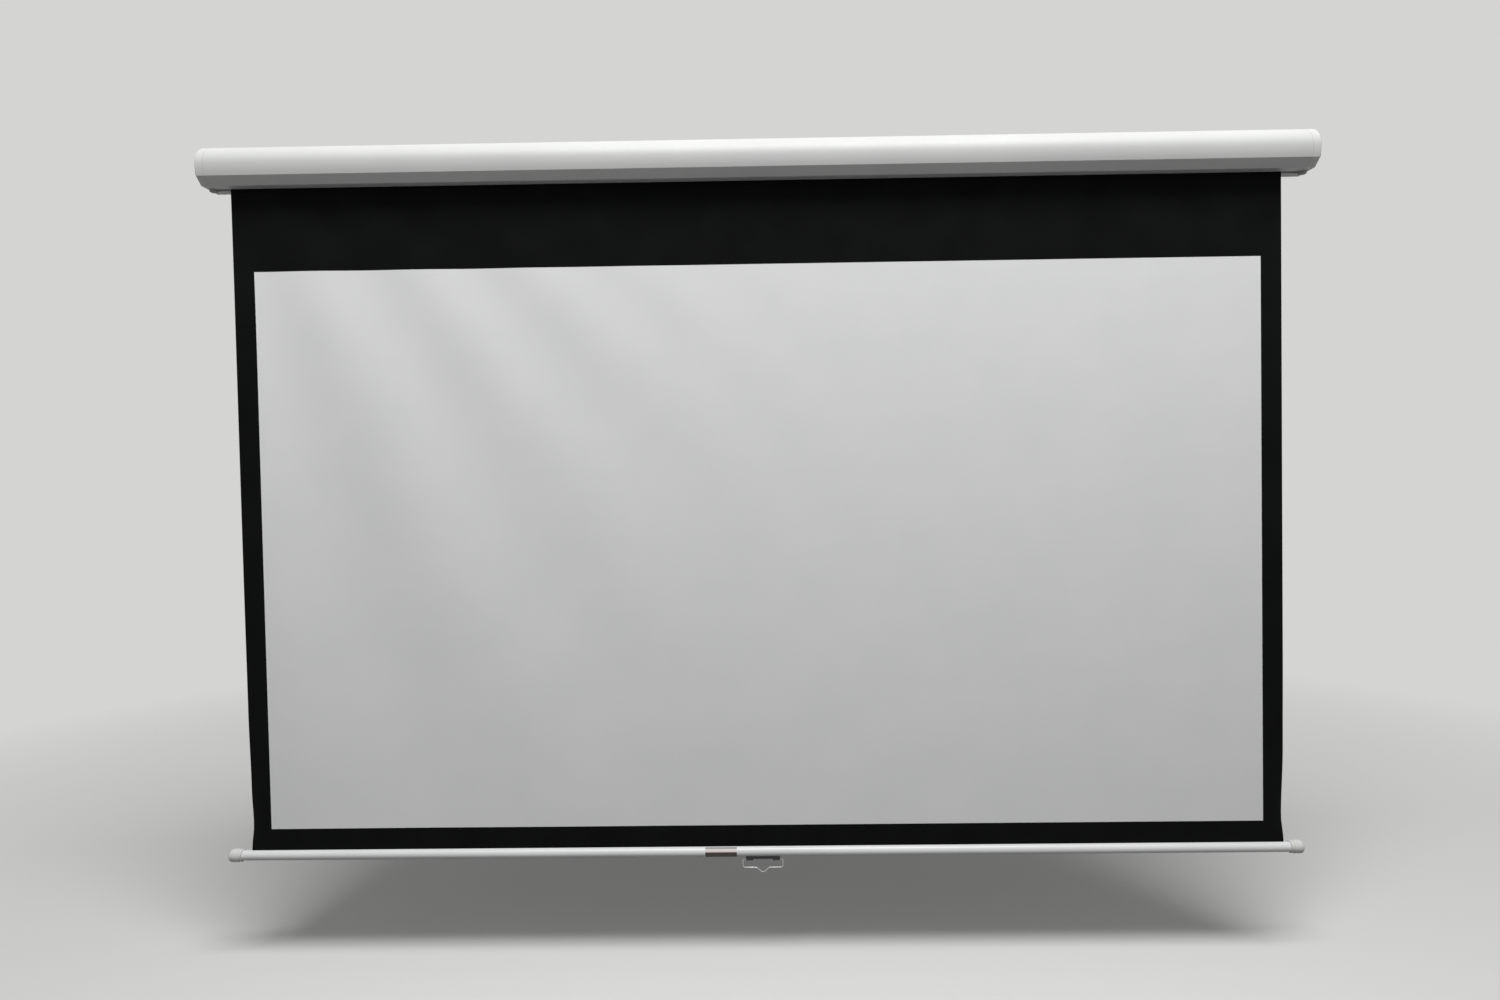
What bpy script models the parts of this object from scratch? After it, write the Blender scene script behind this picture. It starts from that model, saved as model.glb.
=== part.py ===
"""A wall-hung pull-down projection screen, as the assembly of pieces it is built from.

Units are metres and +Z is up. X runs along the case, to the viewer's right, and +Y runs
into the wall. The origin is the middle of the case's flat back, where it meets the wall.
The cloth is drawn right down and locked. Each named object is one physical piece.
"""

import math

import bmesh
import bpy
from mathutils import Matrix, Vector

# Driving dimensions: the cloth
VIEW_WIDTH = 2.214
VIEW_HEIGHT = 1.245
SIDE_BORDER = 0.045
TOP_BORDER = 0.1805
BOTTOM_BORDER = 0.0475
CLOTH_THICKNESS = 0.0004
CLOTH_TO_WALL = 0.0285
CLOTH_RIPPLE = 0.003
CLOTH_TURNS_LEFT = 2

# Driving dimensions: the case and its end caps
CASE_DEPTH = 0.075
CASE_HEIGHT = 0.088
CASE_WALL = 0.001
CASE_TOP_RADIUS = 0.045
CREASE_HEIGHT = 0.0165
CREASE_SETBACK = 0.0035
BEVEL_DEPTH = 0.021
SLOT_FRONT = 0.0045
SLOT_BACK = 0.008
LIP_HEIGHT = 0.005
CHANNEL_RADIUS = 0.0036
CHANNEL_BORE = 0.0017
CHANNEL_INSET = 0.003
CHANNEL_HEIGHT = 0.034
CHANNEL_SLIT = 0.0012
CAP_LENGTH = 0.019
CAP_END_WALL = 0.004
CAP_WALL = 0.0032
CAP_ROUNDING = 0.0035
CAP_BEYOND_CLOTH = 0.054
TONGUE_LENGTH = 0.015
CAP_SCREW_HEAD = 0.003
CAP_SCREW_SHANK = 0.0014
CAP_SCREW_BITE = 0.009

# Driving dimensions: the plates in the caps' backs that hang on wall screws
HANGER_WIDTH = 0.0144
HANGER_THICKNESS = 0.0015
HANGER_LOW = -0.022
HANGER_HIGH = 0.022
HANGER_EDGE = 0.004
KEYHOLE_HEAD = 0.0048
KEYHOLE_SLOT = 0.0027
KEYHOLE_LOW = -0.008
KEYHOLE_HIGH = 0.010

# Driving dimensions: the roller, its spring and its lock
TUBE_RADIUS = 0.018
TUBE_WALL = 0.0012
TUBE_BEYOND_CLOTH = 0.0272
FLANGE_RADIUS = 0.020
FLANGE_LENGTH = 0.003
PLUG_LENGTH = 0.0295
SHAFT_RADIUS = 0.0045
TANG_LENGTH = 0.0045
TANG_WIDTH = 0.004
TANG_HEIGHT = 0.0078
COLLAR_LENGTH = 0.006
COLLAR_RADIUS = 0.0072
TOOTH_RADIUS = 0.0105
TOOTH_ANGLE = 92.0
TOOTH_SPREAD = 24.0
PAWL_THICKNESS = 0.005
PAWL_PIN_RADIUS = 0.0015
PAWL_PIN_CIRCLE = 0.016
PAWL_PIN_SEAT = 0.0022
PAWL_ANGLES = {"upper": 35.0, "lower": 215.0}
PAWL_SWING = 22.0
PAWL_BOSS = 0.0032
PAWL_TIP = 0.0028
PAWL_TIP_CLEAR = 0.0006
CROSS_PIN_RADIUS = 0.0012
SPRING_TURNS = 30
SPRING_LENGTH = 0.300
SPRING_RADIUS = 0.0105
SPRING_WIRE = 0.0012
ANCHOR_LENGTH = 0.010
ANCHOR_RADIUS = 0.0125
BUSH_LENGTH = 0.012
GUDGEON_RADIUS = 0.004
BUSH_SLEEVE = 0.007
BUSH_FLANGE = 0.0095
BUSH_FLANGE_LENGTH = 0.0024
BUSH_STANDS_OUT = 0.002
BRACKET_THICKNESS = 0.002
BRACKET_WIDTH = 0.028
BRACKET_HEIGHT = 0.062
BRACKET_SCREW_SPACING = 0.048
BRACKET_BOSS_HEIGHT = 0.005

# Driving dimensions: the bar at the foot of the cloth, its stops and its pull
BAR_RADIUS = 0.0112
BAR_WALL = 0.0012
BAR_SLOT = 0.002
BAR_BEYOND_CLOTH = 0.045
BAR_CAP_LENGTH = 0.029
BAR_CAP_RADIUS = 0.014
BAR_PLUG_LENGTH = 0.0135
HEM_ROD_RADIUS = 0.003
STOP_RADIUS = 0.0085
STOP_HEIGHT = 0.0047
STOP_FROM_END = 0.0125
STOP_STEM = 0.0022
LABEL_LEFT = -0.128
LABEL_WIDTH = 0.070
SADDLE_LENGTH = 0.076
SADDLE_WIDTH = 0.015
SADDLE_DROP = 0.0045
LUG_LENGTH = 0.0165
LUG_DROP = 0.010
LUG_WIDTH = 0.008
HANDLE_SCREW = 0.0015
HANDLE_SCREW_X = 0.012
BAIL_WIRE = 0.00125
BAIL_WIDTH = 0.0894
BAIL_DROP = 0.027
BAIL_DIP = 0.010
BAIL_DIP_WIDTH = 0.032

# Clearances
GAP = 0.0003
END_PLAY = 0.0005

# Places worked out from the sizes above
CLOTH_HALF = VIEW_WIDTH / 2 + SIDE_BORDER
CLOTH_Y = -CLOTH_TO_WALL
CASE_BOTTOM = -CASE_HEIGHT / 2
CAP_END = CLOTH_HALF + CAP_BEYOND_CLOTH
CASE_HALF = CAP_END - CAP_LENGTH
CAP_START = CASE_HALF + GAP
CAP_FLOOR = CAP_END - CAP_END_WALL
ROLL_RADIUS = TUBE_RADIUS + GAP / 2 + CLOTH_TURNS_LEFT * CLOTH_THICKNESS
ROLLER_Y = CLOTH_Y - ROLL_RADIUS - GAP - CLOTH_THICKNESS / 2
ROLLER_Z = 0.0
TUBE_HALF = CLOTH_HALF + TUBE_BEYOND_CLOTH
FLANGE_START = TUBE_HALF + GAP
FLANGE_END = FLANGE_START + FLANGE_LENGTH
PLUG_INNER = FLANGE_START - PLUG_LENGTH
PLUG_RADIUS = TUBE_RADIUS - TUBE_WALL - GAP
BOSS_END = CAP_FLOOR - BRACKET_BOSS_HEIGHT
BRACKET_OUTER = BOSS_END - GAP
BRACKET_INNER = BRACKET_OUTER - BRACKET_THICKNESS
COLLAR_START = FLANGE_END + END_PLAY
COLLAR_MIDDLE = COLLAR_START + COLLAR_LENGTH / 2
CAP_SCREW_SEAT = CAP_END - CAP_END_WALL / 2
SPRING_OUTER = PLUG_INNER - END_PLAY
SPRING_INNER = SPRING_OUTER - SPRING_LENGTH
ANCHOR_OUTER = SPRING_INNER - END_PLAY
ANCHOR_MIDDLE = ANCHOR_OUTER - ANCHOR_LENGTH / 2
BUSH_OUTER = ANCHOR_OUTER - ANCHOR_LENGTH - END_PLAY
SHAFT_LENGTH = BRACKET_INNER - GAP - BUSH_OUTER + BUSH_LENGTH + 0.004
BAR_TOP = CASE_BOTTOM - TOP_BORDER - VIEW_HEIGHT - BOTTOM_BORDER
BAR_Z = BAR_TOP - BAR_RADIUS
BAR_BOTTOM = BAR_Z - BAR_RADIUS
BAR_END = CLOTH_HALF + BAR_BEYOND_CLOTH
BAR_TUBE_HALF = BAR_END - BAR_CAP_LENGTH - GAP
CLOTH_FOOT = BAR_TOP - BAR_WALL
STOP_X = CAP_END - STOP_FROM_END
PIVOT_Z = BAR_BOTTOM - (SADDLE_DROP + LUG_DROP) / 2
SIDES = {"left": -1, "right": 1}

# Finishes, as base colour, roughness and metallic
WHITE_PAINT = ((0.80, 0.81, 0.79), 0.38, 0.0)
WHITE_PLASTIC = ((0.76, 0.77, 0.75), 0.45, 0.0)
BLACK_PAINT = ((0.012, 0.012, 0.013), 0.45, 0.0)
WHITE_CLOTH = ((0.62, 0.63, 0.63), 0.9, 0.0)
BLACK_CLOTH = ((0.008, 0.008, 0.009), 0.85, 0.0)
ZINC_STEEL = ((0.62, 0.63, 0.65), 0.35, 1.0)
DARK_STEEL = ((0.30, 0.31, 0.33), 0.4, 1.0)
BRIGHT_CHROME = ((0.78, 0.79, 0.80), 0.12, 1.0)
MILL_ALUMINIUM = ((0.72, 0.73, 0.75), 0.4, 1.0)
NATURAL_NYLON = ((0.70, 0.68, 0.62), 0.5, 0.0)
DARK_NYLON = ((0.06, 0.06, 0.065), 0.5, 0.0)
GREY_RUBBER = ((0.42, 0.43, 0.42), 0.7, 0.0)
BLANK_PAPER = ((0.50, 0.46, 0.44), 0.6, 0.0)


def clear_scene():
    for item in list(bpy.data.objects):
        bpy.data.objects.remove(item, do_unlink=True)


def finish(name, look):
    colour, roughness, metallic = look
    material = bpy.data.materials.new(name)
    material.use_nodes = True
    shader = material.node_tree.nodes["Principled BSDF"]
    shader.inputs["Base Color"].default_value = (*colour, 1.0)
    shader.inputs["Roughness"].default_value = roughness
    shader.inputs["Metallic"].default_value = metallic
    return material


def place_mesh(name, mesh, location):
    """An object whose own origin stands at the middle of its mesh along X."""
    along = [vertex.co.x for vertex in mesh.vertices]
    middle = Vector(((min(along) + max(along)) / 2, 0, 0))
    mesh.transform(Matrix.Translation(-middle))
    mesh.name = name
    placed = bpy.data.objects.new(name, mesh)
    bpy.context.collection.objects.link(placed)
    placed.location = Vector(location) + middle
    return placed


def add_piece(name, mesh, look, location=(0, 0, 0), smooth=None, parent=None):
    """Places a mesh as a named piece. Smooth is the angle up to which its edges are rounded over."""
    piece = place_mesh(name, mesh, location)
    piece.parent = parent
    mesh.materials.append(finish(name, look))
    if smooth:
        mesh.shade_smooth()
        mesh.set_sharp_from_angle(angle=math.radians(smooth))
    return piece


def add_joint(name, location):
    """An empty on a joint's axis, which the pieces of the moving body hang from."""
    empty = bpy.data.objects.new(name, None)
    bpy.context.collection.objects.link(empty)
    empty.location = location
    return empty


def mesh_from(work):
    bmesh.ops.recalc_face_normals(work, faces=work.faces)
    mesh = bpy.data.meshes.new("piece")
    work.to_mesh(mesh)
    work.free()
    return mesh


def prism(outline, start, end):
    """An outline in Y and Z, drawn along X from start to end."""
    work = bmesh.new()
    ring = [work.verts.new((start, y, z)) for y, z in outline]
    face = work.faces.new(ring)
    drawn = bmesh.ops.extrude_face_region(work, geom=[face])
    moved = [v for v in drawn["geom"] if isinstance(v, bmesh.types.BMVert)]
    bmesh.ops.translate(work, verts=moved, vec=(end - start, 0, 0))
    return mesh_from(work)


def block(low, high):
    work = bmesh.new()
    bmesh.ops.create_cube(work, size=1.0)
    size = Vector(high) - Vector(low)
    middle = (Vector(high) + Vector(low)) / 2
    bmesh.ops.scale(work, vec=size, verts=work.verts)
    bmesh.ops.translate(work, vec=middle, verts=work.verts)
    return mesh_from(work)


def turned(profile, segments=32, axis="X"):
    """A profile of (along, radius) points, spun round an axis.

    A profile that starts and ends at radius 0 is a solid rod. Any other is closed into a ring.
    """
    work = bmesh.new()
    points = [work.verts.new((along, 0.0, radius)) for along, radius in profile]
    edges = [work.edges.new(pair) for pair in zip(points, points[1:])]
    if profile[0][1] > 0:
        edges.append(work.edges.new((points[-1], points[0])))
    bmesh.ops.spin(
        work,
        geom=points + edges,
        cent=(0, 0, 0),
        axis=(1, 0, 0),
        angle=2 * math.pi,
        steps=segments,
        use_merge=True,
    )
    bmesh.ops.remove_doubles(work, verts=work.verts, dist=1e-7)
    hubs = [vertex for vertex in work.verts if vertex.co.yz.length < 1e-9]
    bmesh.ops.dissolve_verts(work, verts=hubs)
    turn = {
        "X": Matrix.Identity(3),
        "Y": Matrix.Rotation(math.radians(90), 3, "Z"),
        "Z": Matrix.Rotation(math.radians(-90), 3, "Y"),
    }[axis]
    bmesh.ops.rotate(work, cent=(0, 0, 0), matrix=turn, verts=work.verts)
    return mesh_from(work)


def mirrored(profile, side):
    """A turned profile given for the right-hand end, for either end."""
    return [(side * along, radius) for along, radius in profile]


def rod_profile(start, end, radius, chamfer=0.0004):
    return [
        (start, 0.0),
        (start, radius - chamfer),
        (start + chamfer, radius),
        (end - chamfer, radius),
        (end, radius - chamfer),
        (end, 0.0),
    ]


def arc(centre, radius, first, last, steps):
    """Points on an arc in Y and Z, from one angle to another, in degrees from +Y towards +Z."""
    points = []
    for step in range(steps + 1):
        angle = math.radians(first + (last - first) * step / steps)
        points.append((centre[0] + radius * math.cos(angle), centre[1] + radius * math.sin(angle)))
    return points


def shaped(target, operation, mesh, name):
    """Adds to a piece, or cuts from it, the shape of a hidden guide."""
    guide = place_mesh(name, mesh, (0, 0, 0))
    guide.hide_render = True
    guide.display_type = "WIRE"
    modifier = target.modifiers.new(name, "BOOLEAN")
    modifier.operation = operation
    modifier.object = guide
    return guide


def cylinder(radius, start, end, centre, axis="X", segments=20):
    """A plain cylinder from start to end along an axis, at the place of centre across it."""
    mesh = turned([(start, 0.0), (start, radius), (end, radius), (end, 0.0)], segments, axis)
    mesh.transform(Matrix.Translation(Vector(centre)))
    return mesh


def screw(name, head_radius, head_height, shank_radius, length, place, axis, toward, look=ZINC_STEEL):
    """A pan-headed screw. Place is under its head, and toward is +1 or -1 along the axis."""
    profile = [
        (-head_height, 0.0),
        (-head_height, head_radius * 0.55),
        (-head_height * 0.6, head_radius * 0.92),
        (-head_height * 0.2, head_radius),
        (0.0, head_radius),
        (0.0, shank_radius),
        (length - shank_radius / 2, shank_radius),
        (length, shank_radius / 2),
        (length, 0.0),
    ]
    mesh = turned([(toward * along, radius) for along, radius in profile], 16, axis)
    return add_piece(name, mesh, look, place, smooth=40)


def case_outline():
    """The case seen from its end, as (Y, Z) points that run anticlockwise from the bottom of its back."""
    half = CASE_HEIGHT / 2
    drop = CASE_HEIGHT - CASE_TOP_RADIUS - CREASE_HEIGHT
    front_radius = (CREASE_SETBACK**2 + drop**2) / (2 * CREASE_SETBACK)
    front_angle = math.degrees(math.asin(drop / front_radius))
    level = half - CASE_TOP_RADIUS
    top = arc((CASE_TOP_RADIUS - CASE_DEPTH, level), CASE_TOP_RADIUS, 90, 180, 12)
    front = arc((front_radius - CASE_DEPTH, level), front_radius, 180, 180 + front_angle, 4)
    foot = (BEVEL_DEPTH - CASE_DEPTH, -half)
    return [(0.0, -half), (0.0, half)] + top + front[1:] + [foot]


def inset(outline, distance):
    """A closed anticlockwise outline, drawn in by a distance all round."""
    count = len(outline)
    moved = []
    for index in range(count):
        before = Vector(outline[index - 1])
        here = Vector(outline[index])
        after = Vector(outline[(index + 1) % count])
        coming = (here - before).normalized()
        going = (after - here).normalized()
        coming_in = Vector((-coming.y, coming.x))
        going_in = Vector((-going.y, going.x))
        corner = (coming_in + going_in).normalized()
        moved.append(tuple(here + corner * (distance / corner.dot(coming_in))))
    return moved


def channel_centres():
    """The two screw channels up the inside of the case's back: top, then bottom."""
    reach = CASE_WALL + CHANNEL_INSET
    return [(-reach, CHANNEL_HEIGHT), (-reach, -CHANNEL_HEIGHT)]


def screw_channel(centre):
    """A C-shaped channel on the back wall, drawn down from the wall, round the bore and back."""
    meets = math.degrees(math.acos(CHANNEL_INSET / CHANNEL_RADIUS))
    outer_slit = math.degrees(math.asin(CHANNEL_SLIT / 2 / CHANNEL_RADIUS))
    bore_slit = math.degrees(math.asin(CHANNEL_SLIT / 2 / CHANNEL_BORE))
    first = arc(centre, CHANNEL_RADIUS, meets, 180 - outer_slit, 5)
    bore = arc(centre, CHANNEL_BORE, 180 - bore_slit, bore_slit - 180, 12)
    last = arc(centre, CHANNEL_RADIUS, 180 + outer_slit, 360 - meets, 5)
    return first + bore + last


def make_case_shell():
    """The white extruded case, open underneath in a slot between two turned-up lips."""
    outer = case_outline()
    inner = inset(outer, CASE_WALL)
    back_edge = CLOTH_Y + SLOT_BACK
    front_edge = CLOTH_Y - SLOT_FRONT
    lip_top = CASE_BOTTOM + LIP_HEIGHT
    floor = CASE_BOTTOM + CASE_WALL
    top_channel, bottom_channel = channel_centres()
    outline = [(back_edge, CASE_BOTTOM)] + outer
    outline += [
        (front_edge, CASE_BOTTOM),
        (front_edge, lip_top),
        (front_edge - CASE_WALL, lip_top),
        (front_edge - CASE_WALL, floor),
    ]
    outline += list(reversed(inner[1:]))
    outline += screw_channel(top_channel) + screw_channel(bottom_channel)
    outline += [
        inner[0],
        (back_edge + CASE_WALL, floor),
        (back_edge + CASE_WALL, lip_top),
        (back_edge, lip_top),
    ]
    add_piece("case_shell", prism(outline, -CASE_HALF, CASE_HALF), WHITE_PAINT, smooth=20)


def cup(side):
    """An end cap's hollow body, with the curved tongue that slides into the case's front and top."""
    outline = case_outline()
    count = len(outline)
    work = bmesh.new()

    def ring(along, distance, back=None):
        points = inset(outline, distance)
        if back is not None:
            points = [(back, z) for y, z in points[:2]] + points[2:]
        return [work.verts.new((side * along, y, z)) for y, z in points]

    def skin(one, other, first=0, last=count):
        for index in range(first, last):
            after = (index + 1) % count
            work.faces.new((one[index], one[after], other[after], other[index]))

    outside = [ring(CAP_START, 0.0)]
    steps = 4
    for step in range(steps + 1):
        angle = math.pi / 2 * step / steps
        along = CAP_END - CAP_ROUNDING * (1 - math.sin(angle))
        outside.append(ring(along, CAP_ROUNDING * (1 - math.cos(angle)), back=0.0))
    rim = ring(CAP_START, CASE_WALL + GAP)
    inside = ring(CAP_START, CAP_WALL)
    floor = ring(CAP_FLOOR, CAP_WALL)
    tongue_tip = ring(CASE_HALF - TONGUE_LENGTH, CASE_WALL + GAP)
    tongue_inside = ring(CASE_HALF - TONGUE_LENGTH, CAP_WALL)
    for one, other in zip(outside, outside[1:]):
        skin(one, other)
    skin(outside[0], rim)
    skin(rim, inside, 0, 2)
    skin(rim, inside, count - 1, count)
    skin(rim, tongue_tip, 2, count - 1)
    skin(tongue_tip, tongue_inside, 2, count - 1)
    skin(tongue_inside, inside, 2, count - 1)
    for end in (2, count - 1):
        work.faces.new((rim[end], inside[end], tongue_inside[end], tongue_tip[end]))
    skin(inside, floor)
    work.faces.new(outside[-1])
    work.faces.new(floor)
    loose = [vertex for vertex in work.verts if not vertex.link_faces]
    bmesh.ops.delete(work, geom=loose, context="VERTS")
    return mesh_from(work)


def make_end_cap(name, side):
    """A moulded end cap, with the bosses that its screws and the roller bracket go to."""
    cap = add_piece("end_cap_" + name, cup(side), WHITE_PLASTIC, smooth=30)
    recess = GAP + END_PLAY
    for number, (y, z) in enumerate(channel_centres()):
        level = ("top", "bottom")[number]
        start, end = side * (CAP_START + recess), side * (CAP_FLOOR + CAP_END_WALL / 3)
        boss = cylinder(CHANNEL_RADIUS + GAP / 2, start, end, (0, y, z))
        shaped(cap, "UNION", boss, f"channel_boss_{name}_{level}")
    for number, lean in enumerate((1, -1)):
        level = ("upper", "lower")[number]
        place = (0, ROLLER_Y, ROLLER_Z + lean * BRACKET_SCREW_SPACING / 2)
        start, end = side * BOSS_END, side * (CAP_FLOOR + CAP_END_WALL / 3)
        shaped(cap, "UNION", cylinder(0.004, start, end, place), f"bracket_boss_{name}_{level}")
        start, end = side * (BOSS_END - GAP), side * (CAP_FLOOR + 0.001)
        shaped(cap, "DIFFERENCE", cylinder(0.0017, start, end, place), f"bracket_hole_{name}_{level}")
    for number, (y, z) in enumerate(channel_centres()):
        level = ("top", "bottom")[number]
        stepped = [
            (CASE_HALF, 0.0),
            (CASE_HALF, CHANNEL_BORE + GAP),
            (CAP_SCREW_SEAT, CHANNEL_BORE + GAP),
            (CAP_SCREW_SEAT, CAP_SCREW_HEAD),
            (CAP_END + CAP_END_WALL / 2, CAP_SCREW_HEAD),
            (CAP_END + CAP_END_WALL / 2, 0.0),
        ]
        hole = turned(mirrored(stepped, side), 20)
        hole.transform(Matrix.Translation((0, y, z)))
        shaped(cap, "DIFFERENCE", hole, f"cap_hole_{name}_{level}")
    stem = cylinder(STOP_STEM + GAP, CASE_BOTTOM - GAP, CASE_BOTTOM + CAP_WALL + GAP, (0, 0, 0), "Z")
    stem.transform(Matrix.Translation((side * STOP_X, CLOTH_Y, 0)))
    shaped(cap, "DIFFERENCE", stem, "stop_hole_" + name)
    middle = side * (CAP_START + CAP_END) / 2
    half = HANGER_WIDTH / 2 + GAP
    low = (middle - half, -HANGER_THICKNESS - 2 * GAP, HANGER_LOW - GAP)
    high = (middle + half, CAP_WALL, HANGER_HIGH + GAP)
    shaped(cap, "DIFFERENCE", block(low, high), "hanger_recess_" + name)
    half = KEYHOLE_HEAD + GAP
    low = (middle - half, -CAP_WALL * 2, HANGER_LOW + HANGER_EDGE)
    high = (middle + half, CAP_WALL, HANGER_HIGH - HANGER_EDGE)
    shaped(cap, "DIFFERENCE", block(low, high), "hanger_window_" + name)


def make_cap_screws(name, side):
    """Two screws that hold a cap to the channels in the case."""
    length = CAP_SCREW_SEAT - CASE_HALF + CAP_SCREW_BITE
    for number, (y, z) in enumerate(channel_centres()):
        level = ("top", "bottom")[number]
        place = (side * (CAP_SCREW_SEAT + GAP), y, z)
        screw(
            f"cap_screw_{name}_{level}",
            CAP_SCREW_HEAD - GAP,
            CAP_END_WALL / 2 - 3 * GAP,
            CAP_SCREW_SHANK,
            length,
            place,
            "X",
            -side,
        )


def make_hanger(name, side):
    """A steel plate let into the cap's back, with the keyhole that hangs on a wall screw."""
    middle = side * (CAP_START + CAP_END) / 2
    half = HANGER_WIDTH / 2
    low = (middle - half, -HANGER_THICKNESS - GAP, HANGER_LOW)
    high = (middle + half, -GAP, HANGER_HIGH)
    plate = add_piece("hanger_plate_" + name, block(low, high), ZINC_STEEL)
    through = (-2 * HANGER_THICKNESS, HANGER_THICKNESS)
    wide = cylinder(KEYHOLE_HEAD, *through, (middle, 0, KEYHOLE_LOW), "Y")
    shaped(plate, "DIFFERENCE", wide, "keyhole_round_" + name)
    low = (middle - KEYHOLE_SLOT, through[0], KEYHOLE_LOW)
    high = (middle + KEYHOLE_SLOT, through[1], KEYHOLE_HIGH)
    shaped(plate, "DIFFERENCE", block(low, high), "keyhole_slot_" + name)


def make_stop(name, side):
    """The round stop under a cap, which the bar's end meets when the screen is rolled up."""
    profile = [
        (-STOP_HEIGHT, 0.0),
        (-STOP_HEIGHT, STOP_RADIUS - 0.0012),
        (0.0012 - STOP_HEIGHT, STOP_RADIUS),
        (-GAP, STOP_RADIUS),
        (-GAP, STOP_STEM),
        (CAP_WALL + GAP, STOP_STEM),
        (CAP_WALL + GAP, STOP_STEM + 0.0008),
        (CAP_WALL + 0.0020, STOP_STEM - 0.0006),
        (CAP_WALL + 0.0020, 0.0),
    ]
    place = (side * STOP_X, CLOTH_Y, CASE_BOTTOM)
    add_piece("bar_stop_" + name, turned(profile, 28, "Z"), GREY_RUBBER, place, smooth=40)


def make_roller_bracket(name, side):
    """The steel plate in each end that carries the roller, and its two screws."""
    width, height = BRACKET_WIDTH / 2, BRACKET_HEIGHT / 2
    clip = 0.006
    outline = [
        (width, clip - height),
        (width, height - clip),
        (width - clip, height),
        (clip - width, height),
        (-width, height - clip),
        (-width, clip - height),
        (clip - width, -height),
        (width - clip, -height),
    ]
    outline = [(ROLLER_Y + y, ROLLER_Z + z) for y, z in outline]
    mesh = prism(outline, side * BRACKET_INNER, side * BRACKET_OUTER)
    plate = add_piece("roller_bracket_" + name, mesh, ZINC_STEEL)
    through = (side * (BRACKET_INNER - 0.001), side * (BRACKET_OUTER + 0.001))
    for number, lean in enumerate((1, -1)):
        level = ("upper", "lower")[number]
        height = ROLLER_Z + lean * BRACKET_SCREW_SPACING / 2
        hole = cylinder(0.0019, *through, (0, ROLLER_Y, height))
        shaped(plate, "DIFFERENCE", hole, f"plate_hole_{name}_{level}")
        place = (side * (BRACKET_INNER - GAP), ROLLER_Y, height)
        length = BRACKET_THICKNESS + BRACKET_BOSS_HEIGHT
        screw(f"bracket_screw_{name}_{level}", 0.0032, 0.0018, 0.0014, length, place, "X", side)
    if side < 0:
        half = (TANG_WIDTH / 2 + GAP, TANG_HEIGHT / 2 + GAP)
        low = (min(through), ROLLER_Y - half[0], ROLLER_Z - half[1])
        high = (max(through), ROLLER_Y + half[0], ROLLER_Z + half[1])
        shaped(plate, "DIFFERENCE", block(low, high), "tang_hole")
    else:
        hole = cylinder(BUSH_SLEEVE + GAP, *through, (0, ROLLER_Y, ROLLER_Z), segments=32)
        shaped(plate, "DIFFERENCE", hole, "bush_hole")


def make_spring_shaft():
    """The steel shaft through the spring, held still by a flat tang in the left bracket."""
    left = -(BRACKET_INNER - GAP)
    profile = [(along + left, radius) for along, radius in rod_profile(0, SHAFT_LENGTH, SHAFT_RADIUS)]
    shaft = add_piece("spring_shaft", turned(profile, 24), DARK_STEEL, (0, ROLLER_Y, ROLLER_Z), smooth=40)
    low = (left - TANG_LENGTH, ROLLER_Y - TANG_WIDTH / 2, ROLLER_Z - TANG_HEIGHT / 2)
    high = (left + 0.001, ROLLER_Y + TANG_WIDTH / 2, ROLLER_Z + TANG_HEIGHT / 2)
    shaped(shaft, "UNION", block(low, high), "shaft_tang")
    for name, along in (("collar", COLLAR_MIDDLE), ("anchor", ANCHOR_MIDDLE)):
        reach = (ROLLER_Y - 2 * SHAFT_RADIUS, ROLLER_Y + 2 * SHAFT_RADIUS)
        hole = cylinder(CROSS_PIN_RADIUS + GAP, *reach, (-along, 0, ROLLER_Z), "Y", 16)
        shaped(shaft, "DIFFERENCE", hole, name + "_pin_hole_in_shaft")


def make_stop_collar():
    """The collar pinned to the shaft, whose one tooth the pawls catch on."""
    back = TOOTH_ANGLE + TOOTH_SPREAD
    outline = arc((0, 0), COLLAR_RADIUS, back, TOOTH_ANGLE + 360, 28)
    outline += arc((0, 0), TOOTH_RADIUS, TOOTH_ANGLE, TOOTH_ANGLE + TOOTH_SPREAD / 3, 1)
    mesh = prism(outline, -COLLAR_START - COLLAR_LENGTH, -COLLAR_START)
    collar = add_piece("stop_collar", mesh, DARK_STEEL, (0, ROLLER_Y, ROLLER_Z), smooth=30)
    through = (-COLLAR_START - 2 * COLLAR_LENGTH, COLLAR_LENGTH - COLLAR_START)
    bore = cylinder(SHAFT_RADIUS + GAP, *through, (0, ROLLER_Y, ROLLER_Z))
    shaped(collar, "DIFFERENCE", bore, "collar_bore")
    add_cross_pin("collar", collar, COLLAR_MIDDLE, COLLAR_RADIUS)


def make_spring_anchor():
    """The collar pinned near the shaft's inner end, which holds the spring's far end still."""
    profile = [
        (0.0, SHAFT_RADIUS + GAP),
        (0.0, ANCHOR_RADIUS - 0.001),
        (0.001, ANCHOR_RADIUS),
        (ANCHOR_LENGTH - 0.001, ANCHOR_RADIUS),
        (ANCHOR_LENGTH, ANCHOR_RADIUS - 0.001),
        (ANCHOR_LENGTH, SHAFT_RADIUS + GAP),
    ]
    place = (-ANCHOR_OUTER, ROLLER_Y, ROLLER_Z)
    anchor = add_piece("spring_anchor", turned(profile, 24), MILL_ALUMINIUM, place, smooth=40)
    add_cross_pin("anchor", anchor, ANCHOR_MIDDLE, ANCHOR_RADIUS)


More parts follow.
